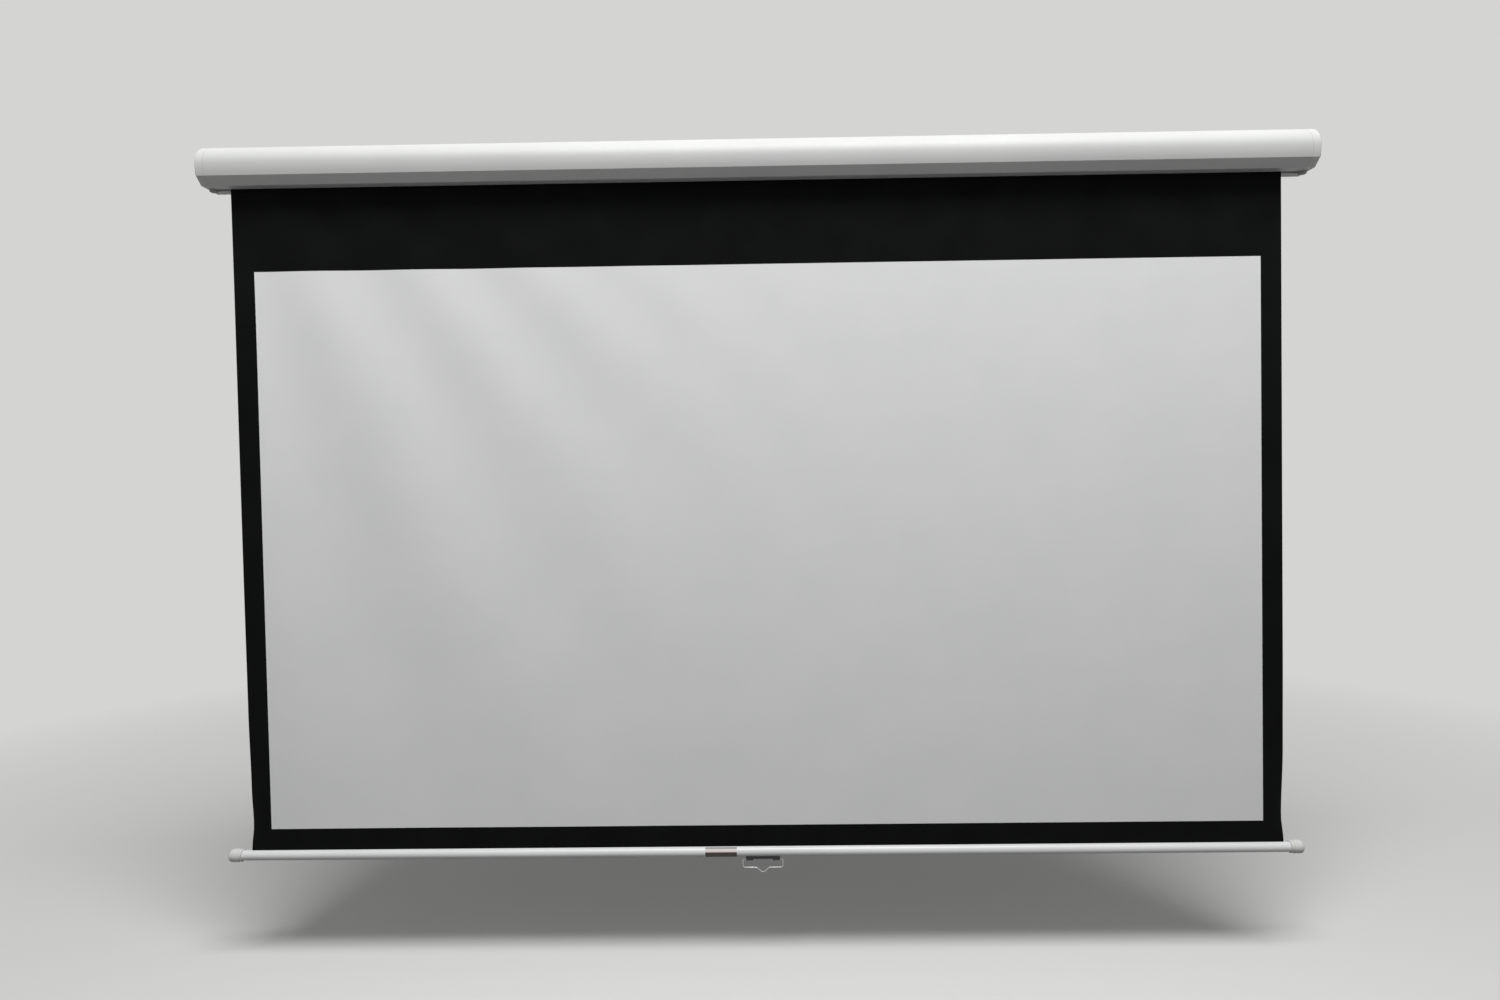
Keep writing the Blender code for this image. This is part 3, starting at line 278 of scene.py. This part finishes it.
# The steel that holds it all: brackets, keyhole plates, screws, pins, pawls and the hem's rod.
# It is zinc plated, so it shows pale spangles and a faint yellow and blue bloom.
ZINC = (0.62, 0.63, 0.65)
ZINC_BLUE = (0.52, 0.56, 0.62)
ZINC_YELLOW = (0.66, 0.63, 0.55)
ZINC_ROUGHNESS = (0.26, 0.46)
BLUE_BLOOM = 0.012
YELLOW_BLOOM = 0.02
YELLOW_SPREAD = (0.55, 0.8)
SPANGLES_PER_METRE = 700.0
ZINC_GRAIN_SIZE = 0.0008
ZINC_GRAIN_HEIGHT = 0.00001

zinc = Finish("zinc_plate", metallic=1.0)
bloom = zinc.patches(BLUE_BLOOM, ZINC_BLUE, ZINC)
zinc.colour(zinc.patches(YELLOW_BLOOM, bloom, ZINC_YELLOW, detail=4.0, spread=YELLOW_SPREAD))
spangle = zinc.node("ShaderNodeTexVoronoi")
spangle.inputs["Scale"].default_value = SPANGLES_PER_METRE
zinc.link(zinc.places, spangle.inputs["Vector"])
zinc.roughness(zinc.between(spangle.outputs["Color"], 0.0, 1.0, *ZINC_ROUGHNESS))
zinc.grain(ZINC_GRAIN_SIZE, ZINC_GRAIN_HEIGHT, detail=3.0)
dress(
    zinc,
    *[name for name in nodes if name.startswith(("hanger_plate", "roller_bracket", "bracket_screw"))],
    *[name for name in nodes if name.startswith(("cap_screw", "pawl_", "collar_pin", "anchor_pin"))],
    "gudgeon_pin",
    "hem_rod",
)


# The spring motor: a coil on a still shaft, with the toothed collar that the pawls catch on.
# Oiled dark steel, drawn along the wire and turned round the shaft. The saddle's screws match it.
OILED_STEEL = (0.30, 0.31, 0.33)
OILED_BROWN = (0.21, 0.185, 0.16)
OILED_ROUGHNESS = (0.3, 0.52)
OIL_PATCH = 0.006
OIL_SPREAD = (0.5, 0.8)
OIL_HAZE = 0.003
TURNED_SIZE = 0.0004
TURNED_STRETCH = (1.0, 0.05, 0.05)
TURNED_HEIGHT = 0.000015

dark_steel = Finish("oiled_steel", metallic=1.0)
dark_steel.colour(dark_steel.patches(OIL_PATCH, OILED_STEEL, OILED_BROWN, detail=5.0, spread=OIL_SPREAD))
dark_steel.haze(OIL_HAZE, OILED_ROUGHNESS)
turning = dark_steel.noise(TURNED_SIZE, detail=1.0, places=dark_steel.stretched(TURNED_STRETCH))
dark_steel.normal(dark_steel.bump(turning, TURNED_HEIGHT))
dress(dark_steel, "spring_shaft", "stop_collar", "torsion_spring", "handle_screw_left", "handle_screw_right")


# The roller: a drawn aluminium tube, and the spring's anchor, turned from bar.
# The tube keeps the fine lines of the die along its length.
MILL_ALUMINIUM = (0.72, 0.73, 0.75)
DULL_ALUMINIUM = (0.60, 0.61, 0.63)
MILL_ROUGHNESS = (0.32, 0.48)
MILL_HAZE = 0.02
DIE_LINE_SIZE = 0.0007
DIE_LINE_STRETCH = (0.01, 1.0, 1.0)
DIE_LINE_SPREAD = (0.3, 0.7)
DIE_LINE_HEIGHT = 0.00002

aluminium = Finish("mill_aluminium", metallic=1.0)
die_lines = aluminium.noise(DIE_LINE_SIZE, detail=2.0, places=aluminium.stretched(DIE_LINE_STRETCH))
dulled = aluminium.between(die_lines, *DIE_LINE_SPREAD)
aluminium.colour(aluminium.mixed(dulled, MILL_ALUMINIUM, DULL_ALUMINIUM))
aluminium.haze(MILL_HAZE, MILL_ROUGHNESS)
aluminium.normal(aluminium.bump(die_lines, DIE_LINE_HEIGHT))
dress(aluminium, "roller_tube", "spring_anchor")


# The plugs and bushes that the roller turns on: nylon, dark in the plugs and natural in the bushes.
# They are moulded, with a faint flow mark and a waxy surface.
NYLONS = {
    "dark_nylon": ((0.060, 0.060, 0.065), (0.045, 0.045, 0.050), ("drive_hub", "idle_plug")),
    "natural_nylon": ((0.70, 0.68, 0.62), (0.64, 0.61, 0.54), ("shaft_bush", "idle_bush")),
}
NYLON_ROUGHNESS = (0.42, 0.58)
FLOW_MARK = 0.01
NYLON_HAZE = 0.004
NYLON_GRAIN_SIZE = 0.0007
NYLON_GRAIN_HEIGHT = 0.00002
WAXINESS = 0.1
WAXY_DEPTH = 0.002

for name, (light, dark, moulded) in NYLONS.items():
    nylon = Finish(name)
    nylon.colour(nylon.patches(FLOW_MARK, light, dark))
    nylon.haze(NYLON_HAZE, NYLON_ROUGHNESS)
    nylon.grain(NYLON_GRAIN_SIZE, NYLON_GRAIN_HEIGHT)
    nylon.shader.inputs["Subsurface Weight"].default_value = WAXINESS
    nylon.shader.inputs["Subsurface Scale"].default_value = WAXY_DEPTH
    dress(nylon, *moulded)


# The cloth: one sheet of coated glass weave, matt white where the picture falls, with a black
# border printed round it and a black back. It hangs from the roller's wall side a trace out of
# square. Soft folds fan out from its upper left, and its sides curl back just above the bar.
CLOTH_HALF = 1.152
CLOTH_Y = -0.0285
CLOTH_FOOT = -1.5182
CLOTH_THICKNESS = 0.0004
CUT_EDGE = math.radians(45)
PICTURE_HALF = 1.107
PICTURE_TOP = -0.2245
PICTURE_FOOT = -1.4695
BORDER_STRIPS = 8
PICTURE_STRIPS = 120
TOP_ROWS = 14
PICTURE_ROWS = 72
FOLD_DEPTH = 0.0044
FOLD_SPACING = 0.25
FOLD_START = -0.665
SLOW_FOLD = 0.25
SLOW_FOLD_PACE = 0.45
SLOW_FOLD_START = 1.1
FOLDS_END = -0.42
FOLDS_FADE = 0.17
CALM_EDGE = 0.07
CALM_SHARE = 0.7
FAN_TOP = -0.24
FAN_SLANT = 1.6
FAN_SPREAD = 1.2
HELD_ENDS = 0.8
BELLY = 0.0016
LEAN = 0.0057
LEAN_LEVEL = -0.80
CURL_REACH = 0.034
LEAST_CURL = 0.001
CURLS = {
    "left": ((0.0, 0.0), (-0.9, 0.0), (-1.2, 0.05), (-1.38, 0.24), (-1.46, 0.42), (CLOTH_FOOT, 0.0)),
    "right": ((0.0, 0.0), (-1.1, 0.0), (-1.3, 0.07), (-1.46, 0.42), (CLOTH_FOOT, 0.0)),
}
CLOTH_WHITE = (0.848, 0.853, 0.850)
CLOTH_GREY = (0.826, 0.832, 0.830)
CLOTH_BLACK = (0.0024, 0.0026, 0.0028)
CLOTH_BLACK_WORN = (0.0044, 0.0047, 0.0049)
# Each side has its two colours, the size of their patches, its roughness and its gloss.
CLOTH_SIDES = {
    "matt_white_cloth": (CLOTH_WHITE, CLOTH_GREY, 0.16, (0.82, 0.95), 0.2),
    "black_border_cloth": (CLOTH_BLACK, CLOTH_BLACK_WORN, 0.10, (0.78, 0.92), 0.08),
    "black_backed_cloth": (CLOTH_BLACK_WORN, CLOTH_BLACK, 0.12, (0.62, 0.78), 0.15),
}
THREAD = 0.0007
THREAD_HEIGHT = 0.00004
THREAD_WANDER = 0.6
WAVE_RADIANS = 20
CLOTH_HAZE = 0.05
ROLL_MARK_SIZE = 0.05
ROLL_MARK_STRETCH = (0.12, 1.0, 1.0)
ROLL_MARK_HEIGHT = 0.0004
ROLL_MARK_STRENGTH = 0.5


def stands_back(x, z):
    """How far the hanging cloth stands towards the wall, and so never into the turns in front."""
    hold = max(0.0, math.sin(math.pi * z / CLOTH_FOOT)) ** HELD_ENDS
    left = 1 / (1 + math.exp((x - FOLDS_END) / FOLDS_FADE))
    left *= 1 - CALM_SHARE * math.exp(-(((x + CLOTH_HALF) / CALM_EDGE) ** 2))
    drop = FAN_TOP - z
    fanned = (x - FAN_SLANT * drop) / (1 + FAN_SPREAD * drop)
    turn = 2 * math.pi * (fanned - FOLD_START) / FOLD_SPACING
    slow = SLOW_FOLD * math.sin(SLOW_FOLD_PACE * turn + SLOW_FOLD_START)
    wave = (math.sin(turn) + slow) / (1 + SLOW_FOLD)
    belly = BELLY * math.cos(math.pi * x / (2 * CLOTH_HALF))
    return hold * (FOLD_DEPTH * left * (1 + wave) + belly)


def curl(x, z):
    """How far a side edge draws in, and how far back it bends, as it curls towards the wall."""
    share = (abs(x) - (CLOTH_HALF - CURL_REACH)) / CURL_REACH
    if share <= 0:
        return 0.0, 0.0
    angle = 0.0
    heights = CURLS["left" if x < 0 else "right"]
    for (above, first), (below, last) in zip(heights, heights[1:]):
        if above >= z >= below:
            along = (above - z) / (above - below)
            angle = first + (last - first) * along * along * (3 - 2 * along)
    if angle < LEAST_CURL:
        return 0.0, 0.0
    drawn_in = CURL_REACH * (share - math.sin(angle * share) / angle)
    back = CURL_REACH * (1 - math.cos(angle * share)) / angle
    return -math.copysign(drawn_in, x), back


def hung_place(x, z):
    """Where a point of the flat sheet hangs, as X and the Y of its middle."""
    drawn_in, back = curl(x, z)
    return x + drawn_in + LEAN * (LEAN_LEVEL - z), CLOTH_Y + stands_back(x, z) + back


def spread(start, end, count):
    """The first count of count + 1 places, evenly from start to end."""
    return [start + (end - start) * i / count for i in range(count)]


def sheet_object(work, name, materials):
    """A sheet's object, smooth over its faces and sharp round its cut edges."""
    bmesh.ops.recalc_face_normals(work, faces=work.faces)
    mesh = bpy.data.meshes.new(name)
    work.to_mesh(mesh)
    work.free()
    mesh.shade_smooth()
    mesh.set_sharp_from_angle(angle=CUT_EDGE)
    for material in materials:
        mesh.materials.append(material)
    made = bpy.data.objects.new(name, mesh)
    bpy.context.collection.objects.link(made)
    return made


def stretch_of_cloth(name, heights, materials):
    """A stretch of the hanging cloth between two heights, in its white, black and back materials."""
    across = spread(-CLOTH_HALF, -PICTURE_HALF, BORDER_STRIPS)
    across += spread(-PICTURE_HALF, PICTURE_HALF, PICTURE_STRIPS)
    across += spread(PICTURE_HALF, CLOTH_HALF, BORDER_STRIPS) + [CLOTH_HALF]
    work = bmesh.new()
    flat_places = work.loops.layers.uv.new("flat")
    layers = []
    for depth in (-CLOTH_THICKNESS / 2, CLOTH_THICKNESS / 2):
        layer = []
        for z in heights:
            row = []
            for x in across:
                place, middle = hung_place(x, z)
                row.append(work.verts.new((place, middle + depth, z)))
            layer.append(row)
        layers.append(layer)
    last_row, last_column = len(heights) - 1, len(across) - 1
    for number, layer in enumerate(layers):
        for r in range(last_row):
            for c in range(last_column):
                corners = [(r, c), (r, c + 1), (r + 1, c + 1), (r + 1, c)]
                if number == 0:
                    corners.reverse()
                face = work.faces.new([layer[i][j] for i, j in corners])
                middle_x = (across[c] + across[c + 1]) / 2
                middle_z = (heights[r] + heights[r + 1]) / 2
                in_picture = abs(middle_x) < PICTURE_HALF and PICTURE_FOOT < middle_z < PICTURE_TOP
                face.material_index = 2 if number else (0 if in_picture else 1)
                for loop, (i, j) in zip(face.loops, corners):
                    loop[flat_places].uv = (across[j], heights[i])
    rim = [(0, c) for c in range(last_column)] + [(r, last_column) for r in range(last_row)]
    rim += [(last_row, c) for c in range(last_column, 0, -1)] + [(r, 0) for r in range(last_row, 0, -1)]
    for (r, c), (i, j) in zip(rim, rim[1:] + rim[:1]):
        face = work.faces.new((layers[0][r][c], layers[0][i][j], layers[1][i][j], layers[1][r][c]))
        face.material_index = 2
    return sheet_object(work, name, materials)


def woven(finish, places):
    """The two ways of the glass weave, as a height that both cross. Each thread is half a wave."""
    ways = []
    for axis in ("X", "Y"):
        wave = finish.node("ShaderNodeTexWave", bands_direction=axis, wave_profile="SIN")
        wave.inputs["Scale"].default_value = 1.0 / (THREAD * WAVE_RADIANS / math.pi)
        wave.inputs["Distortion"].default_value = THREAD_WANDER
        wave.inputs["Detail"].default_value = 1.0
        finish.link(places, wave.inputs["Vector"])
        ways.append(wave.outputs["Fac"])
    return finish.product(*ways)


def cloth_side(name, light, dark, patch, roughness, gloss):
    """One side of the cloth, with its weave and the soft marks of the roller across it."""
    side = Finish(name)
    flat = side.node("ShaderNodeUVMap", uv_map="flat").outputs["UV"]
    side.colour(side.patches(patch, light, dark, detail=4.0, places=flat))
    side.haze(CLOTH_HAZE, roughness, detail=5.0, places=flat)
    rolled = side.noise(ROLL_MARK_SIZE, detail=2.0, places=side.stretched(ROLL_MARK_STRETCH, flat))
    soft = side.bump(rolled, ROLL_MARK_HEIGHT, ROLL_MARK_STRENGTH)
    side.normal(side.bump(woven(side, flat), THREAD_HEIGHT, under=soft))
    side.shader.inputs["Specular IOR Level"].default_value = gloss
    return side.material


cloth_sides = [cloth_side(name, *values) for name, values in CLOTH_SIDES.items()]
black_back = cloth_sides[-1]

cloth_heights = spread(0.0, PICTURE_TOP, TOP_ROWS) + spread(PICTURE_TOP, PICTURE_FOOT, PICTURE_ROWS)
cloth = stretch_of_cloth("hanging_cloth", cloth_heights + [PICTURE_FOOT], cloth_sides)
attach(cloth, "case")
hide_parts("screen_fabric")
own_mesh(cloth)


# The foot of the cloth: the same sheet below the picture, where the border goes into the bar.
# It goes up with the bar, so that its black shows under the case when the screen is let up.
FOOT_ROWS = 8

foot_heights = spread(PICTURE_FOOT, CLOTH_FOOT, FOOT_ROWS) + [CLOTH_FOOT]
foot = stretch_of_cloth("cloth_foot", foot_heights, cloth_sides)
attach(foot, "bar")
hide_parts("screen_fabric")


# The turns that stay on the roller: the same cloth, wound twice round the tube with its white in.
# Its first edge is taped to the tube, and its outer end runs off down the wall side.
ROLLER_Y = -0.04795
ROLLER_Z = 0.0
TUBE_RADIUS = 0.018
TURNS = 2
TURN_CLEAR = 0.00015
STEPS_PER_TURN = 60


def rolled_sheet(name, half, first_radius, last_radius, start, turns, steps, centre):
    """A sheet wound round a line along X, from one radius and angle to another."""
    work = bmesh.new()
    flat_places = work.loops.layers.uv.new("flat")
    count = round(turns * steps)
    middle_radius = (first_radius + last_radius) / 2
    rows = []
    for step in range(count + 1):
        share = step / count
        angle = start + 2 * math.pi * turns * share
        radius = first_radius + (last_radius - first_radius) * share
        row = []
        for depth in (-CLOTH_THICKNESS / 2, CLOTH_THICKNESS / 2):
            y = centre[0] + (radius + depth) * math.cos(angle)
            z = centre[1] + (radius + depth) * math.sin(angle)
            row.append([work.verts.new((x, y, z)) for x in (-half, half)])
        rows.append(row)
    for step in range(count):
        here, after = rows[step], rows[step + 1]
        along = [2 * math.pi * turns * middle_radius * s / count for s in (step, step + 1)]
        for depth in (0, 1):
            corners = (here[depth][0], here[depth][1], after[depth][1], after[depth][0])
            face = work.faces.new(corners)
            places = ((-half, along[0]), (half, along[0]), (half, along[1]), (-half, along[1]))
            for loop, place in zip(face.loops, places):
                loop[flat_places].uv = place
        for end in (0, 1):
            work.faces.new((here[0][end], after[0][end], after[1][end], here[1][end]))
    for row in (rows[0], rows[-1]):
        work.faces.new((row[0][0], row[0][1], row[1][1], row[1][0]))
    return sheet_object(work, name, [black_back])


first_radius = TUBE_RADIUS + TURN_CLEAR + CLOTH_THICKNESS / 2
last_radius = first_radius + CLOTH_THICKNESS * (TURNS - 1) + TURN_CLEAR
turns_on_roller = rolled_sheet(
    "turns_on_roller", CLOTH_HALF, first_radius, last_radius, 0.0, TURNS, STEPS_PER_TURN, (ROLLER_Y, ROLLER_Z)
)
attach(turns_on_roller, "roller")
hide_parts("fabric_roll")


# The hem: the foot of the cloth, turned once round a steel rod and welded to itself.
# The rod is too thick for the slot in the bar, so the bar hangs from it.
HEM_HALF = 1.148
HEM_RADIUS = 0.0034
HEM_GROWTH = 1.1 * CLOTH_THICKNESS
HEM_START = math.radians(68)
HEM_LAP = 1.12
HEM_STEPS = 32
HEM_Z = -1.5222

hem = rolled_sheet(
    "welded_hem",
    HEM_HALF,
    HEM_RADIUS,
    HEM_RADIUS + HEM_GROWTH,
    HEM_START,
    HEM_LAP,
    HEM_STEPS,
    (CLOTH_Y, HEM_Z),
)
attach(hem, "bar")
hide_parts("fabric_hem")


# The bar: a slotted aluminium tube in white enamel, a little whiter and glossier than the case.
# Hands have worn it smooth, and it threads on to the hem from its end.
BAR_WHITE = (0.78, 0.785, 0.79)
BAR_SHADE = (0.745, 0.75, 0.755)
BAR_ROUGHNESS = (0.26, 0.36)
BAR_GLOSS = 0.5
BAR_DUST = 0.15

dress(white_enamel("bar_enamel", BAR_WHITE, BAR_SHADE, BAR_ROUGHNESS, BAR_GLOSS, BAR_DUST), "slat_bar")


# The label: a strip of coated paper stuck round the front of the bar, left blank.
# It is printed in three plain bands, grey over the top, pale in front and dark brown below.
LABEL_GREY = (0.30, 0.295, 0.285)
LABEL_PALE = (0.74, 0.68, 0.655)
LABEL_BROWN = (0.050, 0.036, 0.031)
LABEL_SCUFF = (0.55, 0.53, 0.50)
LABEL_ROUGHNESS = (0.34, 0.5)
BAR_Z = -1.5282
PALE_TOP = 0.0079
PALE_FOOT = 0.0025
PRINT_BLUR = 0.0002
SCUFF_SIZE = 0.003
SCUFF_SPREAD = (0.62, 0.75)
SCUFF_SHARE = 0.25
LABEL_HAZE = 0.004
LABEL_GRAIN_SIZE = 0.0009
LABEL_GRAIN_HEIGHT = 0.00001

label = Finish("blank_label")
split = label.node("ShaderNodeSeparateXYZ")
label.link(label.places, split.inputs["Vector"])
height = split.outputs["Z"]
upper = label.between(height, BAR_Z + PALE_TOP - PRINT_BLUR, BAR_Z + PALE_TOP + PRINT_BLUR)
lower = label.between(height, BAR_Z + PALE_FOOT - PRINT_BLUR, BAR_Z + PALE_FOOT + PRINT_BLUR)
banded = label.mixed(lower, LABEL_BROWN, label.mixed(upper, LABEL_PALE, LABEL_GREY))
scuffs = label.between(label.noise(SCUFF_SIZE, detail=6.0), *SCUFF_SPREAD, high=SCUFF_SHARE)
label.colour(label.mixed(scuffs, banded, LABEL_SCUFF))
label.haze(LABEL_HAZE, LABEL_ROUGHNESS)
label.grain(LABEL_GRAIN_SIZE, LABEL_GRAIN_HEIGHT, detail=3.0)
dress(label, "bar_label")


# The saddle under the bar: pressed steel in black enamel, with a lug at each end for the pull.
# The enamel has chipped to bare steel here and there along its edges.
SADDLE_BLACK = (0.012, 0.012, 0.013)
BARE_STEEL = (0.36, 0.35, 0.34)
SADDLE_ROUGHNESS = (0.32, 0.5)
CHIP_REACH = 0.0006
CHIP_SIZE = 0.009
CHIP_SPREAD = (0.58, 0.70)
SADDLE_HAZE = 0.003
SADDLE_GRAIN_SIZE = 0.0012
SADDLE_GRAIN_HEIGHT = 0.00003

saddle = Finish("saddle_enamel")
chipped = saddle.between(saddle.noise(CHIP_SIZE, detail=5.0), *CHIP_SPREAD)
chips = saddle.product(saddle.edges(CHIP_REACH), chipped)
saddle.colour(saddle.mixed(chips, SADDLE_BLACK, BARE_STEEL))
saddle.haze(SADDLE_HAZE, SADDLE_ROUGHNESS)
saddle.grain(SADDLE_GRAIN_SIZE, SADDLE_GRAIN_HEIGHT)
dress(saddle, "handle_bracket")


# The pull: one length of bright plated wire, bent square, with its ends turned in through the lugs.
# A dip in its middle takes a finger or the hook of a pull rod.
WIRE_RADIUS = 0.00125
PIVOT = Vector((0.0, -0.0285, -1.54665))
PULL_HALF = 0.0447
PULL_FOOT = -0.01850
DIP = 0.010
DIP_HALF = 0.016
DIP_STEPS = 14
PULL_CORNER = 0.006
PULL_SHOULDER = 0.003
PULL_END = 0.0281
WIRE_BRIGHT = (0.50, 0.505, 0.515)
WIRE_DULL = (0.34, 0.335, 0.325)
WIRE_ROUGHNESS = (0.24, 0.38)
DULL_SIZE = 0.004
DULL_SPREAD = (0.5, 0.75)
WIRE_HAZE = 0.002
WIRE_GRAIN_SIZE = 0.0006
WIRE_GRAIN_HEIGHT = 0.000006


def bend(x, z, radius, first, last, steps=8):
    """Points round part of a circle in X and Z, in degrees."""
    angles = [math.radians(first + (last - first) * i / steps) for i in range(steps + 1)]
    return [(x + radius * math.cos(a), z + radius * math.sin(a)) for a in angles]


right = []
for step in range(DIP_STEPS):
    share = step / DIP_STEPS
    right.append((DIP_HALF * share, PULL_FOOT - DIP * (1 + math.cos(math.pi * share)) / 2))
right.append((DIP_HALF, PULL_FOOT))
right += bend(PULL_HALF - PULL_CORNER, PULL_FOOT + PULL_CORNER, PULL_CORNER, 270, 360)
right += bend(PULL_HALF - PULL_SHOULDER, -PULL_SHOULDER, PULL_SHOULDER, 0, 90)
right.append((PULL_END, 0.0))
wire_path = [(-x, z) for x, z in reversed(right[1:])] + right
wire_curve = bpy.data.curves.new("wire_pull", "CURVE")
wire_curve.dimensions = "3D"
wire_curve.bevel_depth = WIRE_RADIUS
wire_curve.bevel_resolution = 5
wire_curve.use_fill_caps = True
wire_line = wire_curve.splines.new("POLY")
wire_line.points.add(len(wire_path) - 1)
for point, (x, z) in zip(wire_line.points, wire_path):
    point.co = (PIVOT.x + x, PIVOT.y, PIVOT.z + z, 1.0)
wire_line.use_smooth = True
wire = bpy.data.objects.new("wire_pull", wire_curve)
bpy.context.collection.objects.link(wire)

plated = Finish("bright_plate", metallic=1.0)
plated.colour(plated.patches(DULL_SIZE, WIRE_BRIGHT, WIRE_DULL, detail=5.0, spread=DULL_SPREAD))
plated.haze(WIRE_HAZE, WIRE_ROUGHNESS)
plated.grain(WIRE_GRAIN_SIZE, WIRE_GRAIN_HEIGHT)
wire_curve.materials.append(plated.material)
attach(wire, "pull")
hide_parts("pull_bail")


# The floor under the screen: pale, plain and matt. It keeps the screen's soft shadow, and fades
# into the pale surround a few metres out. Light that bounces finds it dark, as under a real wall.
FLOOR_Y = -0.2
FLOOR_Z = -1.78
FLOOR_RADIUS = 6.0
FLOOR_SIDES = 96
FLOOR_FADES = (1.6, 4.0)
FLOOR_PALE = (0.74, 0.74, 0.73)
FLOOR_DARK = (0.10, 0.10, 0.10)
FLOOR_ROUGHNESS = 0.9
SURROUND = (0.66, 0.66, 0.65)
SKY_WHITE = (1.0, 1.0, 1.0)
SKY_LEVEL = 0.27

work = bmesh.new()
bmesh.ops.create_circle(work, cap_ends=True, radius=FLOOR_RADIUS, segments=FLOOR_SIDES)
floor_mesh = bpy.data.meshes.new("floor")
work.to_mesh(floor_mesh)
work.free()
floor = bpy.data.objects.new("floor", floor_mesh)
bpy.context.collection.objects.link(floor)
floor.location = (0.0, FLOOR_Y, FLOOR_Z)


def seen(tree):
    """1 for the rays that the eye follows: straight, mirrored and through glass."""
    path = tree.nodes.new("ShaderNodeLightPath")
    total = path.outputs["Is Camera Ray"]
    for name in ("Is Glossy Ray", "Is Transmission Ray"):
        added = tree.nodes.new("ShaderNodeMath")
        added.operation = "MAXIMUM"
        tree.links.new(total, added.inputs[0])
        tree.links.new(path.outputs[name], added.inputs[1])
        total = added.outputs["Value"]
    return total


matt = Finish("floor_matt")
matt.colour(matt.mixed(seen(matt.tree), FLOOR_DARK, FLOOR_PALE))
matt.shader.inputs["Roughness"].default_value = FLOOR_ROUGHNESS
matt.shader.inputs["Specular IOR Level"].default_value = 0.0
distance = matt.node("ShaderNodeVectorMath", operation="LENGTH")
matt.link(matt.places, distance.inputs[0])
matt.link(matt.between(distance.outputs["Value"], *FLOOR_FADES, 1.0, 0.0), matt.shader.inputs["Alpha"])
floor_mesh.materials.append(matt.material)

world = bpy.data.worlds.new("surround")
bpy.context.scene.world = world
world.use_nodes = True
sky = world.node_tree.nodes["Background"]
sky.inputs["Color"].default_value = (*SKY_WHITE, 1.0)
sky.inputs["Strength"].default_value = SKY_LEVEL
pale = world.node_tree.nodes.new("ShaderNodeBackground")
pale.inputs["Color"].default_value = (*SURROUND, 1.0)
both = world.node_tree.nodes.new("ShaderNodeMixShader")
world.node_tree.links.new(seen(world.node_tree), both.inputs[0])
world.node_tree.links.new(sky.outputs[0], both.inputs[1])
world.node_tree.links.new(pale.outputs[0], both.inputs[2])
world.node_tree.links.new(both.outputs[0], world.node_tree.nodes["World Output"].inputs["Surface"])


# The light: a wide soft panel high in front, as ceiling light falls on a wall, and a weak one in
# front of the cloth. Both are white. Each has its place, target, width, depth and watts.
LAMPS = {
    "ceiling_light": ((0.3, -1.95, 3.4), (0.0, 0.0, -0.6), 4.0, 1.4, 225.0),
    "front_light": ((-0.6, -4.2, 0.9), (0.0, 0.0, -0.75), 3.0, 2.0, 4.0),
}

for name, (place, target, width, depth, watts) in LAMPS.items():
    lamp = bpy.data.lights.new(name, "AREA")
    lamp.shape = "RECTANGLE"
    lamp.size, lamp.size_y = width, depth
    lamp.energy = watts
    lamp_object = bpy.data.objects.new(name, lamp)
    bpy.context.collection.objects.link(lamp_object)
    lamp_object.location = place
    lamp_object.rotation_euler = (Vector(target) - Vector(place)).to_track_quat("-Z", "Y").to_euler()
    lamp_object.visible_camera = False


# The eye: under two metres in front of the cloth and a little above its middle, turned a trace to
# the left and down, as the screen is seen by someone who stands before it.
EYE = Vector((0.0008, -1.8654, -0.7004))
EYE_YAW, EYE_PITCH, EYE_ROLL = (math.radians(a) for a in (-0.6026, -1.3417, 0.7492))
EYE_LENS = 19.924
EYE_SENSOR = 36
NEAREST_SEEN = 0.01

ahead = Vector(
    (math.sin(EYE_YAW) * math.cos(EYE_PITCH), math.cos(EYE_YAW) * math.cos(EYE_PITCH), math.sin(EYE_PITCH))
)
level = Vector((math.cos(EYE_YAW), -math.sin(EYE_YAW), 0.0))
down = ahead.cross(level)
across = level * math.cos(EYE_ROLL) + down * math.sin(EYE_ROLL)
below = down * math.cos(EYE_ROLL) - level * math.sin(EYE_ROLL)
eye_lens = bpy.data.cameras.new("eye")
eye_lens.sensor_width = EYE_SENSOR
eye_lens.lens = EYE_LENS
eye_lens.clip_start = NEAREST_SEEN
eye = bpy.data.objects.new("eye", eye_lens)
bpy.context.collection.objects.link(eye)
turned = Matrix((across, -below, -ahead)).transposed().to_4x4()
eye.matrix_world = Matrix.Translation(EYE) @ turned
bpy.context.scene.camera = eye
bpy.context.scene.view_settings.view_transform = "Standard"
